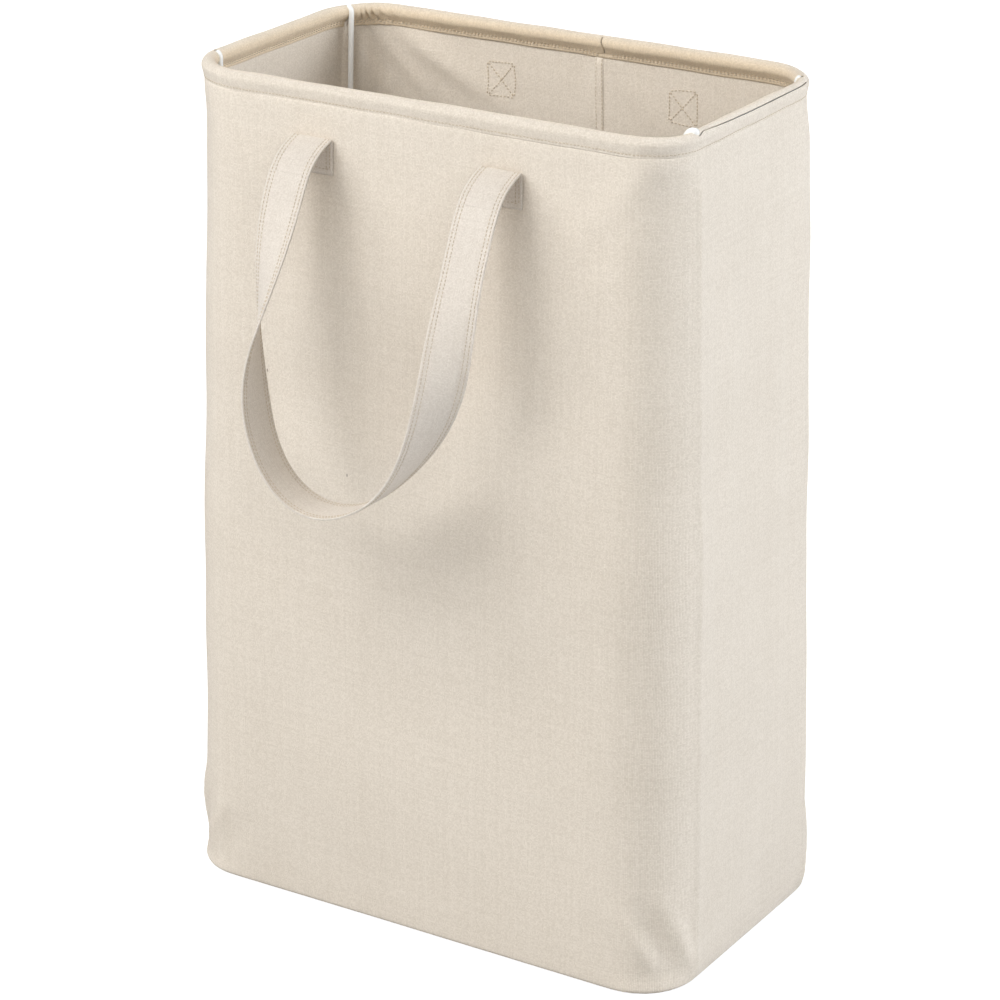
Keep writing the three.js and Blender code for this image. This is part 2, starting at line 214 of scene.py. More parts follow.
def link_mesh(name, vertices, faces, uv):
    """An object from vertices, faces of any number of corners and one uv pair per corner."""
    used = np.unique(np.concatenate([np.ravel(face) for face in faces]))
    place = np.zeros(len(vertices), int)
    place[used] = np.arange(len(used))
    mesh = bpy.data.meshes.new(name)
    mesh.from_pydata(vertices[used], [], [corners for face in faces for corners in place[face].tolist()])
    layer = mesh.uv_layers.new(name="cloth")
    layer.data.foreach_set("uv", np.concatenate([np.reshape(pairs, -1) for pairs in uv]).astype(np.float32))
    smooth = [len(corners) == 4 for face in faces for corners in face]
    mesh.polygons.foreach_set("use_smooth", smooth)
    mesh.update()
    piece = bpy.data.objects.new(name, mesh)
    bpy.context.scene.collection.objects.link(piece)
    return piece


def volume(vertices, quads):
    """Signed volume of a closed mesh: the sum of each triangle's triple product, over six."""
    a, b, c, d = (vertices[quads[:, corner]] for corner in range(4))
    return float(np.sum(np.cross(b, c) * a) + np.sum(np.cross(c, d) * a)) / 6


def grid_piece(name, points, u, v, ring=False, keep=None, caps=False):
    """Piece over a grid of points [row, column].

    ring joins the last column to the first, and u then has one value more than the grid.
    keep says which faces stay. caps closes the two ends of a tube whose section runs
    along the columns.
    """
    rows, columns = points.shape[:2]
    row, column = np.mgrid[0:rows - 1, 0:columns if ring else columns - 1]
    corner_row = np.stack([row, row, row + 1, row + 1], axis=-1)
    corner_column = np.stack([column, column + 1, column + 1, column], axis=-1)
    quads = (corner_row * columns + corner_column % columns).reshape(-1, 4)
    uv = np.stack([np.asarray(u)[corner_column], np.asarray(v)[corner_row]], axis=-1).reshape(-1, 4, 2)
    if keep is not None:
        quads, uv = quads[keep.ravel()], uv[keep.ravel()]
    vertices = points.reshape(-1, 3)
    faces, pairs = [quads], [uv]
    if caps:
        ends = np.array([np.arange(columns)[::-1], (rows - 1) * columns + np.arange(columns)])
        faces.append(ends)
        pairs.append(np.zeros((2, columns, 2)))
        if volume(vertices, quads) < 0:
            faces = [quads[:, ::-1], ends[:, ::-1]]
            pairs = [uv[:, ::-1], pairs[1]]
    return link_mesh(name, vertices, faces, pairs)


def thicken(piece, thickness, side=-1):
    """Gives a sheet its cloth thickness, away from the side that its faces point to."""
    solid = piece.modifiers.new("cloth_thickness", "SOLIDIFY")
    solid.thickness = thickness
    solid.offset = side
    solid.use_even_offset = False
    return piece


def read_off(values, walked, wanted):
    """Rows of values, given at the distances walked, read off at the distances wanted."""
    return np.column_stack([np.interp(wanted, walked, axis) for axis in values.T])


def resample(points, step):
    """The same line with its points one step apart, the last step adjusted to fit."""
    walked = lengths_along(points)
    count = max(2, round(walked[-1] / step) + 1)
    return read_off(points, walked, np.linspace(0, walked[-1], count))


def circle_round(angle, first, second):
    """For each point of a line: cosine of the angles times first plus sine times second."""
    cosine, sine = (part[None, :, None] for part in (np.cos(angle), np.sin(angle)))
    return cosine * first[:, None] + sine * second[:, None]


def columns_between(even_count, fine_spans, step):
    """Walks of a grid's columns: even steps, and a finer step inside the given spans."""
    walks = [np.linspace(0, perimeter, even_count)]
    for start, end in fine_spans:
        walks[0] = walks[0][(walks[0] < start) | (walks[0] > end)]
        walks.append(np.linspace(start, end, round((end - start) / step) + 1))
    return np.unique(np.concatenate(walks))


print("a square's side seen from its corner:", unit(np.array([1.0, 1.0])).round(3))

# %% [markdown]
# Cloth is never quite flat. Three small formulas make its unevenness: ripples are long
# weak waves in every direction, a bell is one soft swelling, and a crease is a soft
# fold along a line. They only push the cloth in or out along its own outward direction.

# %% Ripples, bells and creases
def bell(distance, width):
    """One in the middle, fading on both sides: e to the minus (distance / width) squared."""
    return np.exp(-(distance / width) ** 2)


def ripples(walk, height, seed, waves):
    """Sum of plane waves. A seeded draw gives each its direction and phase.

    Each wave has a whole number of turns round the bag, so it meets itself.
    """
    draw = np.random.default_rng(seed)
    total = np.zeros(np.broadcast(walk, height).shape)
    for length, rise in waves:
        turn, phase = draw.uniform(0, 2 * np.pi, 2)
        cycles = round(perimeter * math.cos(turn) / length)
        upward = height * math.sin(turn) / length
        total += rise * np.sin(2 * np.pi * (cycles * walk / perimeter + upward) + phase)
    return total


def crease(walk, height, start, end, width, rise):
    """A fold along the line from start to end, each (walk, height) on the cloth.

    The rise is a bell of the distance from the line, times a half sine along it.
    """
    start, end = np.array(start), np.array(end)
    span = end - start
    length = np.linalg.norm(span)
    past = walk - start[0], height - start[1]
    share = (past[0] * span[0] + past[1] * span[1]) / length**2
    distance = (past[0] * span[1] - past[1] * span[0]) / length
    window = np.sin(np.pi * np.clip(share, 0, 1)) ** 0.7
    return rise * bell(distance, width) * window


print("a bell two widths out is down to", round(float(bell(2.0, 1.0)), 3))

# %% [markdown]
# A material is a tree of small nodes. A few helpers make one node each, with what goes
# into it, and hand back its output, so that a formula reads in one line. What several
# materials share goes into a group and is worked out in one place.

# %% Node helpers
def node(tree, kind, inputs=None, **settings):
    """One shader node. settings are its own values, inputs what its sockets hold or get."""
    made = tree.nodes.new("ShaderNode" + kind)
    for key, value in settings.items():
        setattr(made, key, value)
    for socket, value in (inputs or {}).items():
        if isinstance(value, bpy.types.NodeSocket):
            tree.links.new(value, made.inputs[socket])
        else:
            made.inputs[socket].default_value = value
    return made


def maths(tree, operation, *values):
    """Output of a math node on two or three numbers or sockets."""
    return node(tree, "Math", dict(enumerate(values)), operation=operation).outputs[0]


def vector_maths(tree, operation, first, second=(0, 0, 0)):
    """Output of a vector math node on one or two vectors or sockets."""
    return node(tree, "VectorMath", {0: first, 1: second}, operation=operation).outputs[0]


def blend_colours(tree, factor, first, second, mode="MIX"):
    """Output of a mix node between two colours."""
    mixed = node(tree, "Mix", {0: factor, 6: first, 7: second}, data_type="RGBA", blend_type=mode)
    return mixed.outputs[2]


def shade_between(tree, factor, low, high):
    """A number that goes from low to high as the factor goes from zero to one."""
    return node(tree, "MapRange", {"Value": factor, "To Min": low, "To Max": high}).outputs[0]


def share_between(tree, value, start, end):
    """A number that goes from zero to one as the value goes from start to end."""
    return node(tree, "MapRange", {"Value": value, "From Min": start, "From Max": end}).outputs[0]


def noise(tree, vector, scale, detail=2.0):
    """Output of a noise texture, as a number."""
    return node(tree, "TexNoise", {"Vector": vector, "Scale": scale, "Detail": detail}).outputs["Fac"]


def link_to(tree, sockets, values):
    """Links each value to the socket of its name."""
    for name, value in values.items():
        tree.links.new(value, sockets[name])


def new_group(name, numbers, outputs, vector=True):
    """A node group that takes a vector and the named numbers, and gives out numbers."""
    group = bpy.data.node_groups.new(name, "ShaderNodeTree")
    if vector:
        group.interface.new_socket("Vector", in_out="INPUT", socket_type="NodeSocketVector")
    for label, value in numbers.items():
        socket = group.interface.new_socket(label, in_out="INPUT", socket_type="NodeSocketFloat")
        socket.default_value = value
    for label in outputs:
        group.interface.new_socket(label, in_out="OUTPUT", socket_type="NodeSocketFloat")
    return group, group.nodes.new("NodeGroupInput").outputs, group.nodes.new("NodeGroupOutput").inputs


print("node helpers ready")

# %% [markdown]
# Canvas is a plain weave: each thread goes over one crossing thread and under the next.
# A photo of it could be pasted on, but then every hamper would show the same stain, so
# the weave is worked out from the uv map instead. The whole part of the coordinate
# tells which thread a point is on, the fraction how far across it, and whether the sum
# of both whole parts is odd tells which thread is on top.

# %% The weave as a shared node group
def make_weave():
    """Plain weave in uv metres, with uneven threads.

    Height of the upper thread: (sine across it) to the power 0.8 times (sine along it)
    to the power 0.35. Tone is a random value per crossing, a weaker one per thread, and
    slow noise along the thread.
    """
    group, given, result = new_group(
        "plain_weave", {"Threads per metre": 1250.0}, ["Height", "Tone", "Slub"]
    )
    wander = node(group, "TexNoise", {"Vector": given["Vector"], "Scale": 90.0, "Detail": 2.0})
    bent = vector_maths(group, "SUBTRACT", wander.outputs["Color"], (0.5, 0.5, 0.5))
    bent = vector_maths(group, "MULTIPLY", bent, (1.2 * MM,) * 3)
    moved = vector_maths(group, "ADD", given["Vector"], bent)
    scaled = vector_maths(group, "MULTIPLY", moved, given["Threads per metre"])
    split = node(group, "SeparateXYZ", {0: scaled})
    warp, weft = (maths(group, "FLOOR", split.outputs[axis]) for axis in "XY")
    odd = maths(group, "FLOORED_MODULO", maths(group, "ADD", warp, weft), 2.0)
    hill_x, hill_y = (
        maths(group, "SINE", maths(group, "MULTIPLY", maths(group, "FRACT", split.outputs[axis]), math.pi))
        for axis in "XY"
    )
    warp_top, weft_top = (
        maths(group, "MULTIPLY", maths(group, "POWER", over, 0.8), maths(group, "POWER", along, 0.35))
        for over, along in ((hill_x, hill_y), (hill_y, hill_x))
    )
    height = node(group, "Mix", {0: odd, 2: weft_top, 3: warp_top})
    warp_own, weft_own = (
        node(group, "TexWhiteNoise", {"W": number}, noise_dimensions="1D").outputs[0]
        for number in (warp, maths(group, "ADD", weft, 0.5))
    )
    own = node(group, "Mix", {0: odd, 2: weft_own, 3: warp_own})
    slub_x, slub_y = (
        noise(group, vector_maths(group, "MULTIPLY", scaled, stretch), 0.6)
        for stretch in ((1.0, 0.02, 1.0), (0.02, 1.0, 1.0))
    )
    slow = node(group, "Mix", {0: odd, 2: slub_y, 3: slub_x})
    crossing = vector_maths(group, "FLOOR", scaled)
    tone = maths(group, "MULTIPLY", own.outputs[0], 0.2)
    for part, weight in (
        (node(group, "TexWhiteNoise", {"Vector": crossing}, noise_dimensions="2D"), 0.5), (slow, 0.3)
    ):
        tone = maths(group, "MULTIPLY_ADD", part.outputs[0], weight, tone)
    slub = maths(group, "MAXIMUM", slub_x, slub_y)
    link_to(group, result, {"Height": height.outputs[0], "Tone": tone, "Slub": slub})
    return group


weave = make_weave()
print("weave group with", len(weave.nodes), "nodes")

# %% [markdown]
# Unbleached cotton keeps some of its seed: fine dark flecks lie here and there in the
# cloth, and the tone drifts a little over a hand's width. Both sit in one group, because
# the wall, the hem and the straps are cut from the same kind of cloth.

# %% Flecks and drifting tone as a shared node group
def make_flecks():
    """Sparse short dark fibres: a fleck is where a stretched cell's distance is small."""
    group, given, result = new_group("seed_flecks", {"Per metre": 45.0}, ["Fleck", "Drift"])
    drawn = vector_maths(group, "MULTIPLY", given["Vector"], (1.0, 0.4, 1.0))
    cells = node(group, "TexVoronoi", {"Vector": drawn, "Scale": given["Per metre"]})
    near = share_between(group, cells.outputs["Distance"], 0.03, 0.012)
    chosen = node(group, "SeparateColor", {0: cells.outputs["Color"]})
    rare = maths(group, "GREATER_THAN", chosen.outputs[0], 0.72)
    fleck = maths(group, "MULTIPLY", near, rare)
    link_to(group, result, {"Fleck": fleck, "Drift": noise(group, given["Vector"], 14.0, 4.0)})
    return group


flecks = make_flecks()
print("flecks group with", len(flecks.nodes), "nodes")

# %% [markdown]
# The cloth of the bag and that of the straps differ a little in colour and in how close
# their threads lie, so both come from one recipe with other numbers. The weave gives the
# tone and a fine relief that catches the light; its height goes into the colour too, as
# painted shade between the threads and painted light on their crowns. Where the hem is
# turned in over the ring, inside the bag, its colour is tinted warmer and darker: painted
# warm shade for the light bounced inside the bag.

# %% The canvas materials
def new_material(name, roughness, **constants):
    """A material with its tree and its one Principled shader, given constant values."""
    material = bpy.data.materials.new(name)
    material.use_nodes = True
    tree = material.node_tree
    shader = tree.nodes["Principled BSDF"]
    shader.inputs["Roughness"].default_value = roughness
    for socket, value in constants.items():
        shader.inputs[socket.replace("_", " ")].default_value = value
    return material, tree, shader


def cloth_material(name, light, dark, threads, relief, fleck_strength=0.8):
    """Woven cotton: the weave gives the tone and the relief, flecks and drift lie over it.

    The second uv number is the way up the cloth. Past the ring, on the hem's part turned in
    over it, the colour is tinted warmer and darker: painted warm shade for light bounced
    inside the bag.
    """
    material, tree, shader = new_material(
        name, 0.92, Sheen_Weight=0.12, Sheen_Roughness=0.6, Specular_IOR_Level=0.25
    )
    uv = node(tree, "UVMap", uv_map="cloth").outputs[0]
    woven = node(tree, "Group", {"Vector": uv, "Threads per metre": threads}, node_tree=weave).outputs
    seeds = node(tree, "Group", {"Vector": uv}, node_tree=flecks).outputs
    # The height of the weave is mixed into the tone: painted shade between the threads and painted light on
    # their crowns.
    tone = maths(tree, "ADD", maths(tree, "MULTIPLY", woven["Tone"], tone_from_threads),
                 maths(tree, "MULTIPLY", woven["Height"], 1 - tone_from_threads))
    tone = maths(tree, "ADD", tone, shade_between(tree, seeds["Drift"], -0.1, 0.1))
    colour = blend_colours(tree, tone, (*dark, 1), (*light, 1))
    slub = share_between(tree, woven["Slub"], 0.66, 0.78)
    colour = blend_colours(tree, maths(tree, "MULTIPLY", slub, 0.12), colour, slub_colour)
    colour = blend_colours(tree, maths(tree, "MULTIPLY", seeds["Fleck"], fleck_strength), colour, seed_colour)
    # Painted warm shade: past the ring, on the hem's turned-in part inside the bag, the colour is tinted
    # warmer and darker, for light bounced inside it.
    way_up = node(tree, "SeparateXYZ", {"Vector": uv}).outputs["Y"]
    warm_shade_share = share_between(tree, way_up, wall_top + warm_shade_from, wall_top + warm_shade_to)
    colour = blend_colours(tree, warm_shade_share, colour, warm_shade_colour, "MULTIPLY")
    thick = maths(tree, "ADD", woven["Height"], maths(tree, "MULTIPLY", slub, 0.6))
    bump = node(tree, "Bump", {"Height": thick, "Distance": relief, "Strength": 1.0})
    link_to(tree, shader.inputs, {"Base Color": colour, "Normal": bump.outputs[0]})
    return material


tone_from_threads = 0.62
# The last of these three colours tints the hem where it is turned in over the ring: painted warm shade for
# light bounced inside the bag.
slub_colour, seed_colour, warm_shade_colour = (0.9, 0.86, 0.78, 1), (0.2, 0.14, 0.09, 1), (1.02, 0.94, 0.81, 1)
warm_shade_from, warm_shade_to = 14 * MM, 24 * MM
canvas = cloth_material("natural_canvas", (0.94, 0.86, 0.755), (0.62, 0.54, 0.435), 1050, 0.2 * MM)
strap_cloth = cloth_material("strap_canvas", (0.88, 0.815, 0.735), (0.6, 0.53, 0.45), 1150, 0.17 * MM, 0.5)
print("cloth materials:", canvas.name, strap_cloth.name)

# %% [markdown]
# The other finishes are small: sewing thread, the white coating of the rods, drawn steel
# wire and pressed fibreboard. Each still has its own roughness pattern, because a plain
# even finish looks like nothing in particular.

# %% Thread, coating, wire and board
def make_speckle():
    """Fine and coarse noise in object coordinates, for coatings and boards."""
    group, given, result = new_group("speckle", {"Scale": 400.0}, ["Fine", "Coarse"], vector=False)
    place = node(group, "TexCoord").outputs["Object"]
    fine, coarse = noise(group, place, given["Scale"], 3.0), noise(group, place, 30.0)
    link_to(group, result, {"Fine": fine, "Coarse": coarse})
    return group


speckle = make_speckle()


def speckled_material(name, light, dark, scale, rough, relief, **constants):
    """A finish whose colour, roughness and relief follow fine and coarse speckle."""
    material, tree, shader = new_material(name, rough[0], **constants)
    grains = node(tree, "Group", {"Scale": scale}, node_tree=speckle).outputs
    tone = maths(tree, "ADD", *(maths(tree, "MULTIPLY", grains[size], 0.5) for size in ("Fine", "Coarse")))
    colour = blend_colours(tree, tone, (*dark, 1), (*light, 1))
    roughness = shade_between(tree, grains["Coarse"], *rough)
    bump = node(tree, "Bump", {"Height": grains["Fine"], "Distance": relief}).outputs[0]
    link_to(tree, shader.inputs, {"Base Color": colour, "Roughness": roughness, "Normal": bump})
    return material


thread, coating, wire, board_finish = (
    speckled_material(name, light, dark, scale, rough, relief, Metallic=metal)
    for name, light, dark, scale, rough, relief, metal in (
        # The sewing thread is a darker tan than the cloth: partly its own colour, partly painted shade for
        # the needle holes and the dip along each stitch.
        ("sewing_thread", (0.7, 0.6, 0.46), (0.54, 0.45, 0.34), 3000, (0.8, 0.9), 0.05 * MM, 0.0),
        ("white_rod_coating", (0.93, 0.93, 0.91), (0.84, 0.84, 0.82), 700, (0.3, 0.45), 0.01 * MM, 0.0),
        ("drawn_wire", (0.62, 0.63, 0.64), (0.45, 0.46, 0.47), 900, (0.28, 0.45), 0.02 * MM, 1.0),
        ("pressed_board", (0.5, 0.36, 0.22), (0.33, 0.22, 0.12), 900, (0.7, 0.9), 0.08 * MM, 0.0),
    )
)


def finish_piece(piece, material, body):
    """Gives a piece its material and the body that it rides on."""
    piece.data.materials.append(material)
    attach(piece, body)


print("small finishes:", [m.name for m in (thread, coating, wire, board_finish)])

# %% [markdown]
# A seam is hundreds of small stitches. Each is a short spindle of thread, four sided and
# thickest in its middle, whose ends dive into the cloth. All the stitches of a row are
# worked out at once as arrays. A seeded draw makes them a little unequal, as a machine
# on thick cloth does.

# %% Helper that sews rows of stitches
stitch_share = 0.72
skew, stray, uneven_length = 0.05, 0.08 * MM, 0.06
spindle = [(-1, -0.5, 0.45), (-0.55, 0.55, 1), (0.55, 0.55, 1), (1, -0.5, 0.45)]


def sew(name, rows_of_points, pitch, radius, seed, body):
    """Stitches of thread along rows, each given as (points, outward directions).

    A stitch has four rings of four corners. The spindle gives each ring its place along
    the stitch, its height over the cloth and its thickness.
    """
    draw = np.random.default_rng(seed)
    centres, alongs, outs = [], [], []
    for points, outward in rows_of_points:
        walked = lengths_along(points)
        count = max(1, int(walked[-1] / pitch))
        at = (np.arange(count) + 0.5) * walked[-1] / count
        centres.append(read_off(points, walked, at))
        alongs.append(unit(read_off(np.gradient(points, axis=0), walked, at)))
        outs.append(unit(read_off(np.broadcast_to(outward, points.shape), walked, at)))
    centre, along, out = (np.vstack(parts) for parts in (centres, alongs, outs))
    across = unit(np.cross(out, along))
    count = len(centre)
    along = unit(along + across * draw.normal(0, skew, (count, 1)))
    centre = centre + across * draw.normal(0, stray, (count, 1))
    half = pitch * stitch_share / 2 * draw.normal(1, uneven_length, (count, 1))
    side = circle_round(np.radians([45, 135, 225, 315]), across, out)
    rings = [
        (centre + along * place * half + out * height * radius)[:, None] + side * thick * radius
        for place, height, thick in spindle
    ]
    vertices = np.stack(rings, axis=1).reshape(-1, 3)
    quads = [
        [r * 4 + k, r * 4 + (k + 1) % 4, r * 4 + 4 + (k + 1) % 4, r * 4 + 4 + k]
        for r in range(3) for k in range(4)
    ]
    quads += [[3, 2, 1, 0], [12, 13, 14, 15]]
    faces = (np.arange(count)[:, None, None] * 16 + np.array(quads)).reshape(-1, 4)
    if volume(vertices, faces) < 0:
        faces = faces[:, ::-1]
    piece = link_mesh(name, vertices, [faces], [np.zeros((len(faces), 4, 2))])
    finish_piece(piece, thread, body)
    print(name, "has", count, "stitches")
    return piece


print("sewing helper ready, rings in a stitch:", len(spindle))

# %% [markdown]
# The wall is one length of canvas, stitched to a round at the back. It could be five flat
# plates, but real cloth flares out a little over the board, rounds under at the floor and
# is drawn in under the hem. It also lies against the rods, which leaves a crisp upright
# edge beside every corner. So it is one surface of two parameters, the walk round the bag
# and the height, with one formula for how far it stands out from the outline. First come
# the places on it: the four corners, the seam, and where each rod hooks over the ring.

# %% Places on the wall that its folds start from
edge_round = 4 * MM
seam_place = -19 * MM % perimeter
rod_front_y, rod_back_y = (
    (low.y + high.y) / 2 for low, high in (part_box("rod_front_left"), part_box("rod_back_left"))
)
rear_shift, rear_left_shift, front_right_shift = 4 * MM, 5 * MM, 7 * MM
rod_back_y = rod_back_y + rear_shift
rod_walks = [left_middle - rod_back_y - rear_left_shift, left_middle - rod_front_y,
             right_middle + rod_front_y - front_right_shift, right_middle + rod_back_y]
left_back_corner, left_front_corner, right_front_corner, right_back_corner = corner_walks
print("walks of the rods:", [round(w, 4) for w in rod_walks])

# %% [markdown]
# Most folds of the bag are soft and start at a corner: short ones fan up from the
# floor, longer ones hang down from the ring, and inside, at the rear left, the cloth was
# bunched under the hem. The lists give each fold by its two ends in millimetres, as the
# distance from a corner and the height, then its width and how far it rises.

# %% The folds of the wall
every_corner = [
    ((26, 4), (0, 80), 5, 2.7), ((10, 10), (-12, 72), 5, -2.2), ((-2, 18), (-28, 66), 5, 2.3),
    ((-16, 6), (-50, 60), 7, -0.9), ((-8, 60), (-20, 330), 9, -0.9), ((-40, 40), (-60, 260), 14, 0.7),
    ((-6, 596), (-78, 520), 11, 1.2), ((-2, 590), (-150, 330), 16, 0.9),
    ((54, 560), (50, 60), 9, -0.9), ((72, 590), (70, 250), 12, 0.7),
]
bunched = [
    ((-4, 592), (-34, 500), 7, -1.8), ((-12, 594), (-60, 540), 6, -1.5), ((-26, 594), (-104, 552), 7, -1.3),
    ((2, 592), (-8, 540), 6, -1.4), ((-40, 594), (-150, 530), 9, -1.0), ((-8, 594), (-26, 552), 4, 1.4),
]
by_seam = [((0, 597), (30, 500), 9, -1.2), ((0, 597), (-50, 540), 8, -0.9)]


def folds_of(place, marks, mirror=1, scale=1):
    """Folds as (start, end, width, rise) in metres, with the place as the marks' origin."""
    return [
        (*((place + mirror * across * MM, up * MM) for across, up in ends), width * MM, scale * rise * MM)
        for *ends, width, rise in marks
    ]


folds = folds_of(right_front_corner, every_corner) + folds_of(left_front_corner, every_corner, -1)
folds += folds_of(right_back_corner, every_corner, -1) + folds_of(left_back_corner, every_corner)
folds += folds_of(left_back_corner, bunched, scale=1.7) + folds_of(seam_place, by_seam)
print("folds on the wall:", len(folds))

# %% [markdown]
# How far the wall stands out is a sum of simple parts, each with its reason on the real
# bag: the board spreads the foot, the cloth bellies between board and ring, the rods
# press ridges into it, and the hem draws it in. A single surface pushed out by such a sum
# stays smooth, and each part can be changed alone.

# %% How far the wall stands out from the outline
def fade(value, start, end):
    """Smooth step: nothing at start, all of it at end."""
    share = np.clip((value - start) / (end - start), 0, 1)
    return share**2 * (3 - 2 * share)


def wide_share(walk):
    """One in the middle of the wide walls, nothing in the middle of the short ones."""
    return np.cos(2 * np.pi * walk / perimeter) ** 2


def flare(walk, height):
    """Flare of the walls: nothing at the mouth, growing evenly down to the floor."""
    wide_wall = wide_share(walk)
    at_floor = flare_of_wide * wide_wall + flare_of_short * (1 - wide_wall)
    return at_floor * (1 - np.clip(height / wall_top, 0, 1))


belly_of_wide, belly_of_short = 1.8 * MM, 1.0 * MM
ridge_rise, ridge_towards_corner, ridge_away = 2.3 * MM, 5 * MM, 26 * MM
hollow_depth, hollow_share = 2.4 * MM, 2.2
long_waves = [(0.31, 0.6 * MM), (0.19, 0.4 * MM), (0.12, 0.3 * MM)]
short_waves = [(0.06, 0.09 * MM), (0.043, 0.07 * MM), (0.085, 0.1 * MM)]
under_depth, under_height, under_width = 1.2 * MM, 13 * MM, 22 * MM
tuck_depth, tuck_height = 0.8 * MM, 3.4 * MM


def wall_stand_out(walk, height):
    """How far the outside of the wall stands out from the outline.

    A flare that grows towards the floor; a slight belly, half a sine of the height; over
    each rod a ridge, e to the minus distance over its width, beside a hollow along the
    corner, half a sine of the distance; ripples; folds; corners that round under at the
    floor as bells; and a tuck under the hem.
    """
    share = np.clip(height / wall_top, 0, 1)
    wide_wall = wide_share(walk)
    out = flare(walk, height)
    out = out + belly_of_wide * wide_wall * np.sin(np.pi * share) ** 0.8
    out = out + belly_of_short * (1 - wide_wall) * np.sin(np.pi * share)
    below_hem = fade(height, wall_top - 4 * MM, wall_top - 34 * MM) * fade(height, 0, 14 * MM)
    for rod, corner in zip(rod_walks, corner_walks):
        inwards = np.sign(rod - corner) * (walk - rod)
        ridge_width = np.where(inwards < 0, ridge_towards_corner, ridge_away)
        ridge = ridge_rise * np.exp(-np.abs(inwards) / ridge_width)
        hollow_width = abs(hollow_share * (rod - corner))
        hollow = hollow_depth * np.sin(np.pi * np.clip(-inwards / hollow_width, 0, 1))
        out = out + below_hem * (ridge - hollow)
    calm = np.sin(np.pi * np.clip(share, 0.02, 0.98)) ** 0.5
    out = out + calm * ripples(walk, height, 7, long_waves)
    out = out + calm * ripples(walk, height, 11, short_waves)
    for fold in folds:
        out = out + crease(walk, height, *fold)
    for corner in corner_walks:
        out = out - under_depth * bell(height, under_height) * bell(walk - corner, under_width)
    tuck = np.clip((height - (wall_top - tuck_height)) / tuck_height, 0, 1)
    return out - tuck_depth * tuck


stand_out = float(wall_stand_out(front_middle, wall_top / 2))
print("the front wall bellies out by", round(stand_out / MM, 1), "mm half way up")

# %% [markdown]
# The wall's grid has finer columns beside the rods, where the shape changes quickly. The
# mesh is the outside of the cloth, and a modifier gives it the thickness inwards. The
# two ends of the cloth are felled together: inside the bag the seam is a narrow doubled
# strip with two rows of stitches. When the ring comes down, the real wall folds up.

# %% The wall of the bag and the felled seam inside it
def wall_points(walk, path):
    """Outside of the wall. The path starts under the bag, turns round the lower edge and
    goes up: on the turn the point lies on a quarter circle of radius edge_round."""
    turn = np.clip(path / edge_round, 0, math.pi / 2)
    height = edge_round * (1 - np.cos(turn)) + np.clip(path - edge_round * math.pi / 2, 0, None)
    inward = edge_round * (1 - np.sin(turn))
    return round_the_bag(walk, wall_stand_out(walk, height) - inward, height)


wall_path = np.concatenate([
    np.linspace(0, edge_round * math.pi / 2, 9)[:-1],
    np.linspace(edge_round * math.pi / 2, wall_top + edge_round * (math.pi / 2 - 1), 150),
])
fine_places = [(rod - 14 * MM, rod + 14 * MM) for rod in rod_walks]
wall_walk = columns_between(331, fine_places, 1.2 * MM)
wall_grid = wall_points(wall_walk[None, :-1], wall_path[:, None])
wall = thicken(grid_piece("canvas_wall", wall_grid, wall_walk, wall_path, ring=True), cloth)
finish_piece(wall, canvas, "bag")
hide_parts("wall_cloth")


def fold_with_wall(piece):
    """Gives a piece on the wall a mesh of its own."""
    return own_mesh(piece)


def on_wall_inside(walk, height, proud):
    """Points on the inner face of the wall, standing proud of it by a small distance."""
    walk, height = np.broadcast_arrays(walk, height)
    return round_the_bag(walk, wall_stand_out(walk, height) - cloth - proud, height)


strip_half, strip_proud, strip_shift = 3.6 * MM, 0.6 * MM, 5.5 * MM
row_shift = 2.3 * MM
strip_place = seam_place + strip_shift
strip_walk = strip_place + np.linspace(-strip_half, strip_half, 13)
strip_height = np.linspace(10 * MM, hem_low.z - 4 * MM, 90)
strip_rise = strip_proud - strip_proud * np.abs(np.linspace(-1, 1, 13)) ** 4
strip_grid = on_wall_inside(strip_walk[None, :], strip_height[:, None], strip_rise[None, :])
seam_strip = grid_piece("felled_seam", strip_grid[:, ::-1], strip_walk[::-1], strip_height)
thicken(seam_strip, strip_proud)
finish_piece(seam_strip, canvas, "bag")
seam_rows = []
line = np.linspace(12 * MM, hem_low.z - 5 * MM, 240)
for place in (strip_place - row_shift, strip_place + row_shift):
    seam_rows.append((on_wall_inside(place, line, 0.5 * MM), to_front))
    seam_rows.append((round_the_bag(place, wall_stand_out(place, line), line), to_back))
seam_stitches = sew("seam_stitches", seam_rows, 2.9 * MM, 0.3 * MM, 3, "bag")
for piece in (wall, seam_strip, seam_stitches):
    fold_with_wall(piece)

# %% [markdown]
# The bottom is a flat piece of the same canvas, sewn into the lower edge of the wall, and
# a pressed board lies on it. Both are plates with the bag's outline, drawn as rings that
# shrink towards the middle, so their edges can be rounded like the real ones.

# %% Bottom cloth and base board
def plate_piece(name, inset, low, high, edge, rings=10):
    """A plate whose rows go from the middle of the under side, round the edge on half a
    circle, to the middle of the upper side. Further in than the corner radius, a row is
    squeezed."""
    flat_rows = np.linspace(half_depth - inset - 1 * MM, edge, rings) + inset
    turn = np.linspace(0, math.pi, 9)[1:-1]
    offsets = np.concatenate([-flat_rows, -inset - edge + edge * np.sin(turn), -flat_rows[::-1]])
    edge_heights = (low + high) / 2 - (high - low) / 2 * np.cos(turn)
    heights = np.concatenate([np.full(rings, low), edge_heights, np.full(rings, high)])
    walk = np.linspace(0, perimeter, 161)
    most = corner_radius * 0.9
    places = np.maximum(offsets, -most)[:, None] + flare(walk[None, :-1], 0.0)
    rows = round_the_bag(walk[None, :-1], places, heights[:, None])
    spare = np.clip(-offsets - most, 0, None)[:, None]
    for axis in (0, 1):
        reach = np.abs(rows[..., axis]).max(axis=1, keepdims=True)
        rows[..., axis] *= (reach - spare) / reach
    path = lengths_along(np.column_stack([offsets, heights]))
    return grid_piece(name, rows, walk, path, ring=True, caps=True)


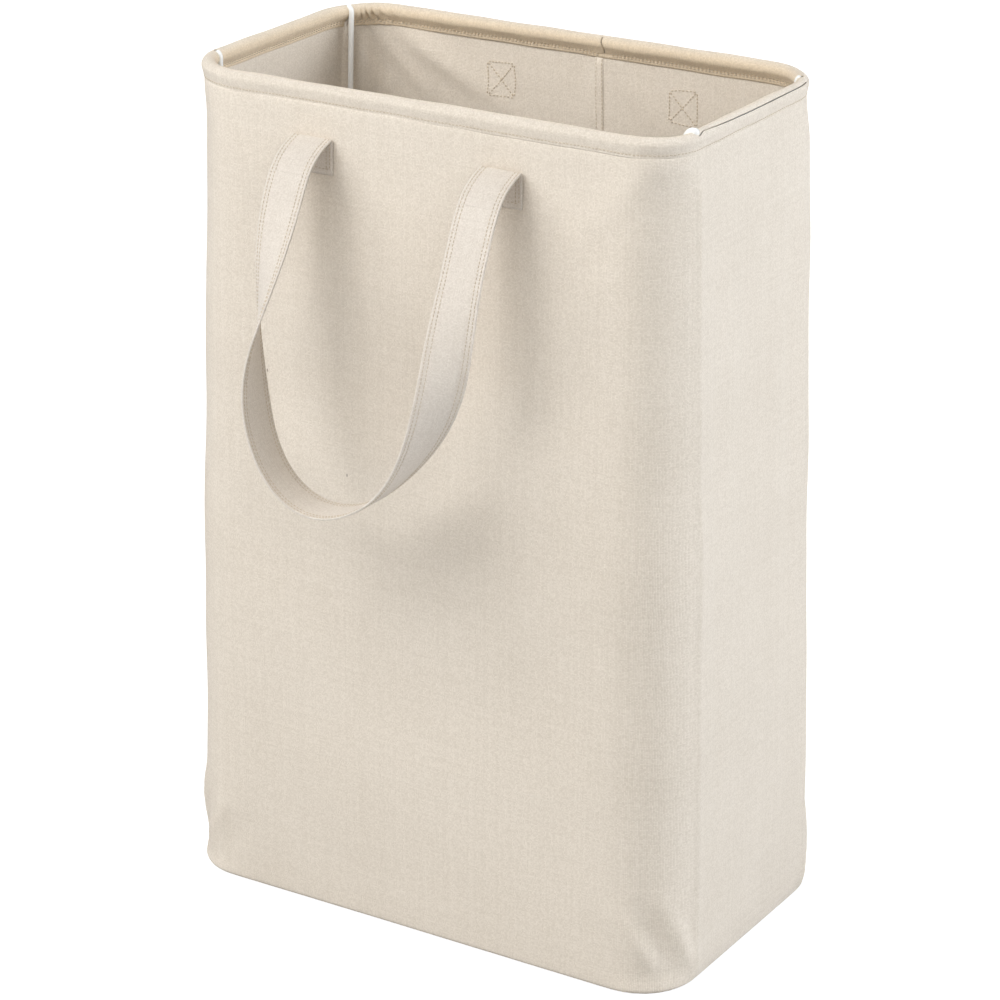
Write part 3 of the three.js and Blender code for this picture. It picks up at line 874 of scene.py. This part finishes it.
bottom = plate_piece("canvas_bottom", edge_round - 1 * MM, 0.1 * MM, 1.6 * MM, 0.7 * MM)
finish_piece(bottom, canvas, "bag")
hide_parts("bottom_cloth")
board_inset = half_width - board_high.x
board = plate_piece("base_board_plate", board_inset, board_low.z, board_high.z, 1.2 * MM)
finish_piece(board, board_finish, "bag")
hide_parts("base_board")

# %% [markdown]
# The hem is the top of the same canvas, turned in over the wire ring and sewn down. Its
# section is a drop: round over the ring, straight down the outside, sloping back inside
# to a folded lip. At each rod a slot on the inner side lets the hook reach the ring. On
# the short walls the cloth was closed over the ring by hand, and there a thin slit runs
# along the top.

# %% The hem's section and its columns
outer_foot = [(-0.35, -1.9), (0.02, -1.2), (0.12, 0.0)]
inner_knee = (-2.7, -1.2)
lip = [(-2.95, -1.7), (-2.8, -2.9), (-2.45, -4.2), (-2.0, -4.7), (-1.6, -4.3)]
notch_half = 2.5 * MM
groove_half = 0.36 * MM
seam_slit_half = 0.45 * MM


def in_section(points):
    """Pairs of millimetres from the outline and from the hem's lower edge, in metres."""
    return np.array([(across * MM, hem_low.z + up * MM) for across, up in points])


def hem_section():
    """Outside line of the hem's section as (offset, height), foot to lip.

    The round part is wire centre plus hem radius times (cosine, sine), from the angle
    where the outer foot's tangent touches it to the angle of the inner knee's tangent.
    """
    def touch(point, side):
        across, up = point[0] - wire_offset, point[1] - wire_height
        return math.atan2(up, across) + side * math.acos(hem_radius / math.hypot(across, up))

    foot, knee, folded = in_section(outer_foot), in_section([inner_knee])[0], in_section(lip)
    angles = np.linspace(touch(foot[-1], 1), touch(knee, -1) + 2 * math.pi, 40)
    arc = np.column_stack([
        wire_offset + hem_radius * np.cos(angles), wire_height + hem_radius * np.sin(angles)
    ])
    return resample(np.vstack([foot, arc, [knee], folded]), 0.25 * MM)


section = hem_section()
section_walked = lengths_along(section)
crown_walked = section_walked[np.argmax(section[:, 1])]
groove_walked = crown_walked - 4.7 * MM
slit_end = 0.97
row_walked = np.unique(np.concatenate([
    np.linspace(0, section_walked[-1], 44),
    groove_walked + np.array([-2, -1, 0, 1, 2]) * groove_half,
]))
lip_walked = section_walked[-1] - 6.2 * MM
gather_place, gather_width, pleat = left_back_corner - 13 * MM, 17 * MM, 9 * MM


def hem_columns():
    """Columns of the hem, with finer ones at the slots and in the gathers."""
    spans = [(rod - 7 * MM, rod + 7 * MM) for rod in rod_walks]
    spans += [(gather_place - 26 * MM, gather_place + 24 * MM), (seam_place - 3 * MM, seam_place + 3 * MM)]
    walks = columns_between(421, spans, 0.7 * MM)
    edges = np.array([rod + side * notch_half for rod in rod_walks for side in (-1, 1)])
    edges = np.append(edges, [seam_place - seam_slit_half, seam_place + seam_slit_half])
    near = np.min(np.abs(walks[:, None] - edges), axis=1)
    return np.unique(np.concatenate([walks[near > 0.3 * MM], edges]))


hem_walk = hem_columns()
print("hem section:", round(section_walked[-1] * 1000, 1), "mm round,", len(hem_walk) - 1, "columns")

# %% [markdown]
# Three things make the hem look sewn and not cast. Its stitch line pulls a shallow
# groove. Near the rear left corner the cloth is gathered into narrow pleats. And its
# roundness wavers a little. On the short walls the slit starts on top by the front rod
# and wanders to the outer side, so the rows of the grid are shifted with it.

# %% The shape of the hem
def between_rods(walk):
    """For each short wall: share of the way from its front rod to its rear rod, or NaN."""
    right = (walk - rod_walks[2]) / (rod_walks[3] - rod_walks[2])
    left = (rod_walks[1] - walk) / (rod_walks[1] - rod_walks[0])
    share = np.where((right > 0) & (right < 1), right, left)
    return np.where((share > 0) & (share < 1), share, np.nan)


hem_waves = [(0.06, 0.12 * MM), (0.023, 0.1 * MM), (0.11, 0.15 * MM)]
sewn_depth, lip_sewn_depth, groove_depth = 0.3 * MM, 0.25 * MM, 2.4 * MM
bunch_depth, bulge_rise = 4.6 * MM, 1.0 * MM


def hem_shape(walk, walked):
    """Offset and height of the hem at a walk round the bag and along its section.

    The slit wanders by 3.6 times e to the minus share / 0.18, less 0.4, plus 0.8 times
    the share squared, in millimetres, where share is the way from front to rear rod. The
    section is pushed in at the seams and the slit, in pleats at the gathers as the root
    of a sine, and out over the seam.
    """
    share = between_rods(walk)
    closing = np.nan_to_num(fade(share, 0, 0.06) * fade(share, 1, 0.94))
    share = np.nan_to_num(share)
    wander = (3.6 * np.exp(-share / 0.18) - 0.4 + 0.8 * share**2) * MM
    reach = 1 - np.clip(np.abs(walked - groove_walked) / (9 * MM), 0, 1)
    at = walked + closing * wander * reach
    offset = np.interp(at, section_walked, section[:, 0])
    height = np.interp(at, section_walked, section[:, 1])
    inside = walked > crown_walked
    sewn = bell(height - (hem_low.z + 0.4 * MM), 0.8 * MM) * ~inside * sewn_depth
    sewn = sewn + bell(walked - lip_walked - 1.6 * MM, 0.5 * MM) * lip_sewn_depth
    cut = closing * np.where(np.abs(walked - groove_walked) < groove_half / 2, groove_depth, 0)
    uneven = ripples(walk, walked, 31, hem_waves)
    gathered = bell(walk - gather_place, gather_width)
    valley = np.abs(np.sin(np.pi * (walk + 0.35 * (walked - lip_walked)) / pleat)) ** 0.6
    bunch = bell(walked - lip_walked + 3 * MM, 6.5 * MM) * gathered * (1 - valley) * bunch_depth
    seam_bulge = bell(walk - seam_place - 6 * MM, 11 * MM) * bulge_rise
    seam_bulge = seam_bulge * bell(walked - lip_walked - 2 * MM, 3 * MM)
    angle = np.arctan2(height - wire_height, offset - wire_offset)
    push = uneven - sewn - cut - bunch + seam_bulge
    return offset + np.cos(angle) * push, height + np.sin(angle) * push


print("the pleats are", round(pleat / MM, 1), "mm apart")

# %% [markdown]
# The slots for the hooks, the slit on the short walls and the one by the seam, where the
# ring was fed in, could be cut out afterwards. It is simpler to leave out the faces that
# lie in them and to thicken the cloth after that, so each cut edge shows the thickness of
# the cloth. By the rear rod the long slit ends in a groove that dies away.

# %% The hem with its slots and slits
column_walk, row_place = hem_walk[None, :-1], row_walked[:, None]
seam_lean = 0.8 * MM * bell(column_walk - seam_place, 3 * MM)
seam_lean = seam_lean * np.sin((row_place - crown_walked) / (2.6 * MM))
hem_grid = round_the_bag(column_walk + seam_lean, *hem_shape(column_walk, row_place))
face_walk = ((hem_walk[1:] + hem_walk[:-1]) / 2)[None, :]
face_walked = ((row_walked[1:] + row_walked[:-1]) / 2)[:, None]
from_rod = np.min(np.abs(face_walk[..., None] - np.array(rod_walks)), axis=-1)
slot_end = crown_walked - 1.2 * MM + 1.4 * MM * (from_rod / notch_half) ** 4
in_slot = (from_rod < notch_half) & (face_walked > slot_end)
in_slit = (np.abs(face_walked - groove_walked) < 0.8 * groove_half) & (between_rods(face_walk) < slit_end)
in_seam_slit = np.abs(face_walk - seam_place) < seam_slit_half
in_seam_slit = in_seam_slit & (face_walked > crown_walked + 1 * MM) & (face_walked < lip_walked + 1 * MM)
cloth_stays = ~(in_slot | in_seam_slit | in_slit)
hem = grid_piece("rim_cloth", hem_grid, hem_walk, row_walked + wall_top, ring=True, keep=cloth_stays)
thicken(hem, hem_cloth)
finish_piece(hem, canvas, "rim")
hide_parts("rim_hem")
print("hem:", len(hem.data.polygons), "faces")

# %% [markdown]
# One row of stitches shows outside, under the roll, and two rows hold the lip inside.
# The inner rows stop at the slots, where the needle had to stop too.

# %% Stitches of the hem
def hem_row(walks, walked, lift):
    """Points and outward directions of a stitch row at one place of the section."""
    offset, height = hem_shape(walks, np.full_like(walks, walked))
    side = 1.0 if walked < crown_walked else -1.0
    return round_the_bag(walks, offset + side * lift, height), out_of_bag(walks, offset, height) * side


outer_line = np.linspace(0.5 * MM, perimeter, 1200)
outer_walked = np.interp(hem_low.z + 0.4 * MM, section[:12, 1], section_walked[:12])
inner_rows = []
stops = np.sort(np.array(rod_walks + [seam_place]))
for start, end in zip(stops, np.roll(stops, -1)):
    end = end if end > start else end + perimeter
    line = np.linspace(start + 5 * MM, end - 5 * MM, 500)
    inner_rows += [hem_row(line % perimeter, lip_walked + shift, 0.05 * MM) for shift in (0.9 * MM, 2.6 * MM)]
outer_row = hem_row(outer_line, outer_walked, 0.02 * MM)
sew("hem_stitches", [outer_row], 2.7 * MM, 0.34 * MM, 5, "rim")
sew("lip_stitches", inner_rows, 2.9 * MM, 0.42 * MM, 6, "rim")

# %% [markdown]
# The rods are the bright white lines at the mouth. Each has a moulded cup on its foot and
# bends outwards over the ring at its top. The real hooks are pushed on by hand and don't
# reach equally far, so each has its own end, and the front right one is the thickest. One
# helper carries a round section along a path in the upright plane of the rod.

# %% Rods and the cups on their feet
def round_bar(name, path, radius, sides=24, level=(0.0, 1.0, 0.0)):
    """Tube along a path with its own radius at each point. The section's own directions
    are level and the one across it, because every rod lies in an upright plane."""
    forward = unit(np.gradient(path, axis=0))
    level = np.tile(level, (len(path), 1))
    angle = np.linspace(0, 2 * np.pi, sides + 1)
    ring = circle_round(angle[:-1], unit(np.cross(level, forward)), level)
    points = path[:, None] + radius[:, None, None] * ring
    return grid_piece(name, points, angle * radius.max(), lengths_along(path), ring=True, caps=True)


rod_names = [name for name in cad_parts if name.startswith("rod_") and name.count("_") == 2]
rod_radius = (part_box("rod_front_left")[1].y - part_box("rod_front_left")[0].y) / 2
hooks = {
    "rod_back_left": (2.0 * MM, 118), "rod_front_left": (2.0 * MM, 128),
    "rod_back_right": (2.0 * MM, 135), "rod_front_right": (2.8 * MM, 80),
}
hook_gap, foot_flare, point_radius = 0.3 * MM, 8 * MM, 0.05 * MM


def rod_path(low, hook_end, hook_bar, hook_radius):
    """Path and radius of a rod: straight up, a slight taper, a hook of constant radius
    over the wire, from 180 degrees, its inner side, towards 90, its top, and a nose that
    closes as a quarter circle."""
    middle = (low + wire_height) / 2
    straight = np.array([low, low + 1 * MM, middle, wire_height - 14 * MM, wire_height - 4 * MM])
    turn = np.linspace(math.pi, hook_end, 22)
    hook = np.column_stack([hook_radius * (1 + np.cos(turn)), wire_height + hook_radius * np.sin(turn)])
    nose_turn = np.linspace(0, math.pi / 2, 7)[1:]
    ahead = np.array([math.sin(hook_end), -math.cos(hook_end)])
    nose = hook[-1] + hook_bar * np.sin(nose_turn)[:, None] * ahead
    flat = np.vstack([np.column_stack([0 * straight, straight]), hook, nose])
    radius = [rod_radius * 0.85, rod_radius, rod_radius, rod_radius, (rod_radius + hook_bar) / 2]
    radius += [hook_bar] * len(hook) + list(np.maximum(hook_bar * np.cos(nose_turn), point_radius))
    return flat, np.array(radius)


for rod_name in rod_names:
    tip_name = rod_name.replace("rod_", "rod_tip_")
    low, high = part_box(rod_name)
    tip_low, tip_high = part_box(tip_name)
    side = 1 if high.x > 0 else -1
    foot = np.array([(tip_low.x + tip_high.x) / 2 + side * foot_flare, (low.y + high.y) / 2, 0])
    hook_walk = min(rod_walks, key=lambda w: np.hypot(*(round_the_bag(w, 0, 0)[:2] - foot[:2])))
    hook_bar, hook_end = hooks[rod_name]
    hook_radius = wire_radius + hook_gap + hook_bar
    under_hook = round_the_bag(hook_walk, wire_offset - hook_radius, wire_height) * np.array([1, 1, 0])
    outward = unit(out_of_bag(hook_walk, 0.0, 0.0))
    flat, radius = rod_path(low.z, math.radians(hook_end), hook_bar, hook_radius)
    share = np.clip(flat[:, 1:] / wire_height, 0, 1)
    path = flat[:, :1] * outward + flat[:, 1:] * np.array([0, 0, 1.0])
    path = path + foot * (1 - share) + under_hook * share
    rod = round_bar("coated_" + rod_name, path, radius, level=(-outward[1] * side, outward[0] * side, 0.0))
    finish_piece(rod, coating, rod_name)
    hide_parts(rod_name)
    tip_radius = (tip_high.y - tip_low.y) / 2
    turn = np.linspace(0, math.pi / 2, 12)
    tip_z = np.append(tip_low.z + tip_radius * (1 - np.cos(turn)), [tip_high.z - 0.6 * MM, tip_high.z])
    tip_r = np.maximum(tip_radius * np.sin(turn), point_radius)
    tip_r = np.append(tip_r, [tip_radius, tip_radius - 0.5 * MM])
    tip = round_bar("foot_of_" + rod_name, np.column_stack([0 * tip_z, 0 * tip_z, tip_z]) + foot, tip_r)
    finish_piece(tip, coating, rod_name)
    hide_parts(tip_name)
print("rods:", sorted(rod_names))

# %% [markdown]
# The ring is one length of drawn wire, bent to the outline of the mouth and closed by a
# crimped sleeve beside the seam, where it was fed in. Both are hidden in the hem, so they
# follow the measured model: a plain tube carried round the bag, and a short thicker one.

# %% The ring and its sleeve
def ring_tube(name, start, end, radius, sides=14):
    """Tube round the bag at the wire's place, from one walk to another."""
    walk = np.linspace(start, end, max(12, int(abs(end - start) / (3 * MM))))
    angle = np.linspace(0, 2 * np.pi, sides + 1)
    across, up = radius * np.cos(angle[None, :-1]), radius * np.sin(angle[None, :-1])
    points = round_the_bag(walk[:, None], wire_offset + across, wire_height + up)
    return grid_piece(name, points, angle * radius, walk, ring=True, caps=True)


ring_wire = ring_tube("ring_wire", seam_place + 0.5 * MM, seam_place - 0.5 * MM + perimeter, wire_radius)
finish_piece(ring_wire, wire, "rim")
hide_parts("top_ring")
sleeve_low, sleeve_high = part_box("ring_sleeve")
sleeve = ring_tube("crimped_sleeve", -sleeve_high.x % perimeter, -sleeve_low.x % perimeter, 2.8 * MM, 24)
finish_piece(sleeve, wire, "rim")
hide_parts("ring_sleeve")
print("ring of wire", round(2 * wire_radius / MM, 1), "mm thick")

# %% [markdown]
# A rod stands in a pocket of the same canvas, sewn to the wall just above the board. It
# can't be seen in the photograph, so its shape is a plain guess: a patch that lies flat
# on the wall at both sides and bulges round the foot of the rod.

# %% Pockets for the feet of the rods
def pocket_piece(name, node_name):
    """Patch whose distance from the wall is a raised cosine of the place along Y."""
    low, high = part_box(node_name)
    side = 1 if high.x > 0 else -1
    middle_y, bulge_half = (low.y + high.y) / 2, (high.y - low.y) / 2 + 1 * MM
    middle_walk = right_middle + middle_y if side > 0 else left_middle - middle_y
    across = np.linspace(-1.35, 1.35, 45)
    raised = np.where(np.abs(across) < 1, 0.5 + 0.5 * np.cos(np.pi * across), 0)[None, :]
    up = np.linspace(low.z + 0.2 * MM, high.z, 14)[:, None]
    crown = side * (min(abs(low.x), abs(high.x)) + foot_flare)
    grid = on_wall_inside(middle_walk + side * across[None, :] * bulge_half, up, 0.3 * MM)
    hang = 1 + 0.04 * np.sin(np.pi * (up - low.z) / (high.z - low.z))
    grid[..., 0] += raised * (crown - grid[..., 0]) * hang
    along = lengths_along(grid[0])
    if side < 0:
        grid, along = grid[:, ::-1], along[::-1]
    piece = grid_piece(name, grid, along, up[:, 0])
    thicken(piece, 1.2 * MM, 1)
    finish_piece(piece, canvas, "bag")
    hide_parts(node_name)
    return piece.name


print("pockets:", [
    pocket_piece(name + "_patch", name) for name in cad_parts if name.startswith("rod_pocket")
])

# %% [markdown]
# Each strap is one band of folded canvas. Its ends are turned under and sewn flat to the
# wall. From the fold the stiff band first stands out from the wall, then droops, and its
# lowest part turns edge-on, as a limp strap does. The middle line and the twist are
# formulas of the drop and of the distance from the fold, the same ones that the measured
# model has, with the folds a few millimetres higher, as the photo shows them. A flat
# section with round edges is carried along the line.

# %% The strap's section, middle line and twist
strap_width, strap_thickness = 32 * MM, 1.8 * MM
strap_rows = (2.2 * MM, 4.9 * MM)
half_spacing, handle_offset = 74.2 * MM, 6.4 * MM
straight_drop, bow_drop, root_drop = 116.4 * MM, 120.5 * MM, 17.9 * MM
stand_off, bend, reach, settle, sway = 18.7 * MM, 7 * MM, 135 * MM, 90 * MM, 26 * MM
twist_left, twist_right = (42 * MM, 201.5 * MM), (73 * MM, 255 * MM)
fold_z = 574.9 * MM
tail_length = 26 * MM


def strap_section():
    """Flat section with round edges, (across, out), pulled thinner along its stitches."""
    flat_half = strap_width / 2 - strap_thickness / 2
    rows_at = np.array([strap_width / 2 - row for row in strap_rows])
    across = np.unique(np.concatenate([np.linspace(-flat_half, flat_half, 25), rows_at, -rows_at]))
    pulled = sum(bell(np.abs(across) - row, 0.9 * MM) for row in rows_at)
    half = strap_thickness / 2 * (1 - 0.42 * pulled)
    turn = np.linspace(np.pi / 2, -np.pi / 2, 7)[1:-1]
    edge = strap_thickness / 2 * np.column_stack([np.cos(turn), np.sin(turn)])
    right = edge + np.array([flat_half, 0])
    upper = np.column_stack([across, half])
    lower = np.column_stack([across[::-1], -half[::-1]])
    return np.vstack([upper, right, lower, -right])


def strap_point(x, drop):
    """Middle line. It stands off by 1 minus e to the minus drop over bend, then falls away
    ever more steeply, and sways sideways with the third power of its share of the drop."""
    share = drop / (straight_drop + bow_drop)
    out = stand_off * (1 - np.exp(-drop / bend)) + reach * share - settle * share**2
    return np.stack([x - sway * share**3, -out, -drop], axis=-1)


def strap_line():
    """Middle line from fold to fold, the outward side of the loop, and how far it drops."""
    drop = np.unique(np.append(straight_drop * np.linspace(0, 1, 90) ** 1.6, root_drop))
    count = len(drop)
    turn = np.linspace(np.pi, 2 * np.pi, 80)[1:-1]
    end = np.full(count, half_spacing)
    x = np.concatenate([-end, half_spacing * np.cos(turn), end])
    drops = np.concatenate([drop, straight_drop - bow_drop * np.sin(turn), drop[::-1]])
    centre = strap_point(x, drops)
    side = np.column_stack([x / half_spacing, 0 * x, -np.clip(drops - straight_drop, 0, None) / bow_drop])
    side[:count], side[-count:] = (-1, 0, 0), (1, 0, 0)
    return centre, unit(side), drops


strap_centre, strap_side, strap_drop = strap_line()
strap_run = lengths_along(strap_centre)
from_left, from_right = strap_run, strap_run[-1] - strap_run
strap_twist = np.where(
    from_left < from_right, fade(from_left, *twist_left), fade(from_right, *twist_right)
) * np.pi / 2
strap_along = unit(np.gradient(strap_centre, axis=0))
strap_face = np.cos(strap_twist)[:, None] * to_front + np.sin(strap_twist)[:, None] * strap_side
strap_face = unit(strap_face - np.sum(strap_face * strap_along, axis=1, keepdims=True) * strap_along)
strap_across = np.cross(strap_along, strap_face)
flat_section = strap_section()
section_around = lengths_along(np.vstack([flat_section, flat_section[:1]]))
print("strap length between the folds:", round(strap_run[-1], 3), "m")

# %% [markdown]
# Both straps are made in the same four steps, and the rear one is then turned half round:
# the line of the sewn end, which runs up the wall, round a tight bend and out; a band
# along a line; rows of stitches along both its edges; and the way onto the bag.

# %% Helpers for a strap's pieces
def on_bag(points, wall_side):
    """From the strap's own frame to the bag: to the fold, and half a turn for the rear."""
    moved = points + np.array([-handle_offset, fold_y_outer, fold_z - strap_thickness / 2])
    return moved * np.array([wall_side, wall_side, 1])


fold_y_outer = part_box("handle_end_front_left")[1].y - strap_thickness
slim_size, bend_radius = 0.97, 0.95 * MM


def band(name, centre, across, face, run, wall_side, slim_rows=0):
    """A strap piece: the flat section carried along a middle line. The last slim_rows are
    a little smaller, so that they can lie inside the next piece."""
    size = np.ones((len(centre), 1, 1))
    size[len(centre) - slim_rows:] = slim_size
    points = centre[:, None] + size * (
        flat_section[None, :, :1] * across[:, None] + flat_section[None, :, 1:] * face[:, None]
    )
    return grid_piece(name, on_bag(points, wall_side), section_around, run, ring=True, caps=True)


def edge_rows(centre, across, face, wall_side):
    """Stitch rows along both edges of a band, on both of its faces."""
    turn = np.array([wall_side, wall_side, 1])
    rows = []
    for row in strap_rows:
        for edge in (-1, 1):
            for side in (-1, 1):
                place = edge * (strap_width / 2 - row) * across + side * strap_thickness * 0.32 * face
                rows.append((on_bag(centre + place, wall_side), side * face * turn))
    return rows


def root_line(side):
    """Sewn end, fold and stiff root of a strap: up the wall, round a tight bend, then
    along the middle line to the hinge."""
    up = np.linspace(-tail_length + strap_thickness, -1.1 * MM, 12)
    flat = np.column_stack([0 * up, np.full(12, strap_thickness / 2), up])
    turn = np.radians(np.linspace(8, 100, 8))
    tight = bend_radius * np.column_stack([0 * turn, np.cos(turn), np.sin(turn)])
    tight = tight + np.array([0, -0.05 * MM, -bend_radius])
    drops = np.append(np.linspace(0.25 * MM, root_drop, 22), [root_drop + 0.1 * MM, root_drop + 1.2 * MM])
    out = strap_point(0.0, drops)
    line = np.vstack([flat, tight, out]) + np.array([side * half_spacing, 0, 0])
    along = unit(np.gradient(line, axis=0)) * -side
    across = np.tile([float(side), 0, 0], (len(line), 1))
    return line, across, np.cross(across, along)


# %% [markdown]
# The stiff root of the strap stays with its sewn end, and the loop hangs from it. Real
# cloth bends there at every swing. Here the two pieces meet at one line, the axis of the
# handle's joint.

# %% Strap loops, their sewn ends and their stitches
in_loop = strap_drop >= root_drop - 0.01 * MM
for wall_name, wall_side in (("front", 1), ("back", -1)):
    parts = [values[in_loop] for values in (strap_centre, strap_across, strap_face)]
    loop = band(f"strap_loop_{wall_name}", *parts, strap_run[in_loop], wall_side)
    finish_piece(loop, strap_cloth, f"handle_{wall_name}")
    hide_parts(f"handle_{wall_name}")
    loop_rows = edge_rows(*parts, wall_side)
    loop_name = f"strap_stitches_{wall_name}"
    loop_stitches = sew(loop_name, loop_rows, 2.6 * MM, 0.3 * MM, 8, f"handle_{wall_name}")
    for piece in (loop, loop_stitches):
        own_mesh(piece)
    end_rows = []
    for end_name, side in (("left", -1), ("right", 1)):
        line, across, face = root_line(side)
        end = band(f"strap_end_{wall_name}_{end_name}", line, across, face, lengths_along(line), wall_side, 2)
        finish_piece(end, strap_cloth, "rim")
        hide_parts(f"handle_end_{wall_name}_{end_name}")
        end_rows += edge_rows(line[2:-2], across[2:-2], face[2:-2], wall_side)
        hem_line = line[2] + np.linspace(-0.4, 0.4, 20)[:, None] * strap_width * across[2]
        end_rows.append((on_bag(hem_line - face[2] * strap_thickness * 0.5, wall_side), -face[2] * wall_side))
    sew(f"strap_end_stitches_{wall_name}", end_rows, 2.6 * MM, 0.3 * MM, 9, "rim")

# %% [markdown]
# Where a strap is sewn on, the inside of the wall shows the seam as a box with a cross,
# a little crooked, because it was guided by hand. It moves with the ring, as the sewn
# ends of the straps do.

# %% Boxes with a cross inside the walls
box_half_wide, box_half_high = 10.8 * MM, 12 * MM
box_height = fold_z - 9 * MM


def box_rows(middle_walk, inward, seed):
    """Rows of one box: its four sides and both diagonals, with shaken corners."""
    draw = np.random.default_rng(seed)
    corners = np.array([(-1, -1), (1, -1), (1, 1), (-1, 1)]) * (box_half_wide, box_half_high)
    corners = corners + draw.normal(0, 0.7 * MM, (4, 2))
    rows = []
    for start, end in ((0, 1), (1, 2), (2, 3), (3, 0), (0, 2), (1, 3)):
        share = np.linspace(0.03, 0.97, 24)[:, None]
        line = corners[start] * (1 - share) + corners[end] * share
        line = line + bell(share - 0.5, 0.3) * draw.normal(0, 0.35 * MM, 2)
        points = on_wall_inside(middle_walk + line[:, 0], box_height + line[:, 1], 0.0)
        rows.append((points, inward))
    return rows


boxes = []
for index, x in enumerate((-half_spacing, half_spacing)):
    boxes += box_rows(front_middle + x - handle_offset, to_back, 40 + index)
    boxes += box_rows(-(x + handle_offset) % perimeter, to_front, 50 + index)
sew("box_stitches", boxes, 2.6 * MM, 0.45 * MM, 12, "rim")

# %% [markdown]
# Floor, light and sky come last. The photograph was taken in a white studio, and the
# shadow at the foot of the bag is very faint. The floor glows a little towards the
# camera, so it stays as pale as the photo's. The sky is white to the camera and weak as a
# light, because a bright one would wash out the folds. Five large soft lamps do the rest,
# the strongest at the front left and at the right rear.

# %% Floor, lights and world
floor_half, floor_tone, floor_glow, world_light = 6.0, 0.5, 0.72, 0.08
lamps = {
    "key_front_left": ((-1.7, -2.2, 2.3), 2.8, 76, (1, 1, 1)),
    "side_right_rear": ((2.7, 1.3, 1.5), 1.5, 82, (0.96, 1.0, 1.06)),
    "fill_right": ((2.2, -2.4, 1.7), 2.2, 28, (1, 1, 1)),
    "top_front": ((-0.4, -2.3, 3.0), 2.2, 53, (1, 1, 1)),
    "rear_left": ((-2.4, 2.5, 2.0), 2.0, 45, (1, 1, 1)),
}
lamp_aim = Vector((0, 0, 0.3))


def make_floor():
    """A large plain plate under the bag."""
    mesh = bpy.data.meshes.new("studio_floor")
    corners = [(x * floor_half, y * floor_half, 0) for x, y in ((-1, -1), (1, -1), (1, 1), (-1, 1))]
    mesh.from_pydata(corners, [], [(0, 1, 2, 3)])
    floor = bpy.data.objects.new("studio_floor", mesh)
    bpy.context.scene.collection.objects.link(floor)
    material, tree, shader = new_material("pale_floor", 0.9)
    shader.inputs["Base Color"].default_value = (floor_tone, floor_tone, floor_tone, 1)
    shader.inputs["Emission Color"].default_value = (floor_glow, floor_glow, floor_glow, 1)
    tree.links.new(node(tree, "LightPath").outputs["Is Camera Ray"], shader.inputs["Emission Strength"])
    mesh.materials.append(material)


def make_lamp(name, place, size, power, colour):
    """A soft square lamp at a place, aimed at the middle of the bag."""
    data = bpy.data.lights.new(name, "AREA")
    data.size, data.energy, data.color = size, power, colour
    lamp = bpy.data.objects.new(name, data)
    lamp.location = place
    lamp.rotation_euler = (Vector(place) - lamp_aim).to_track_quat("Z", "Y").to_euler()
    bpy.context.scene.collection.objects.link(lamp)


make_floor()
for lamp_name, lamp_values in lamps.items():
    make_lamp(lamp_name, *lamp_values)
world = bpy.data.worlds.new("white_studio")
world.use_nodes = True
sky = world.node_tree.nodes["Background"]
seen = node(world.node_tree, "LightPath").outputs["Is Camera Ray"]
world.node_tree.links.new(shade_between(world.node_tree, seen, world_light, 1.0), sky.inputs["Strength"])
sky.inputs["Color"].default_value = (1, 1, 1, 1)
bpy.context.scene.world = world
bpy.context.scene.view_settings.view_transform = "Standard"
print("lamps:", list(lamps))
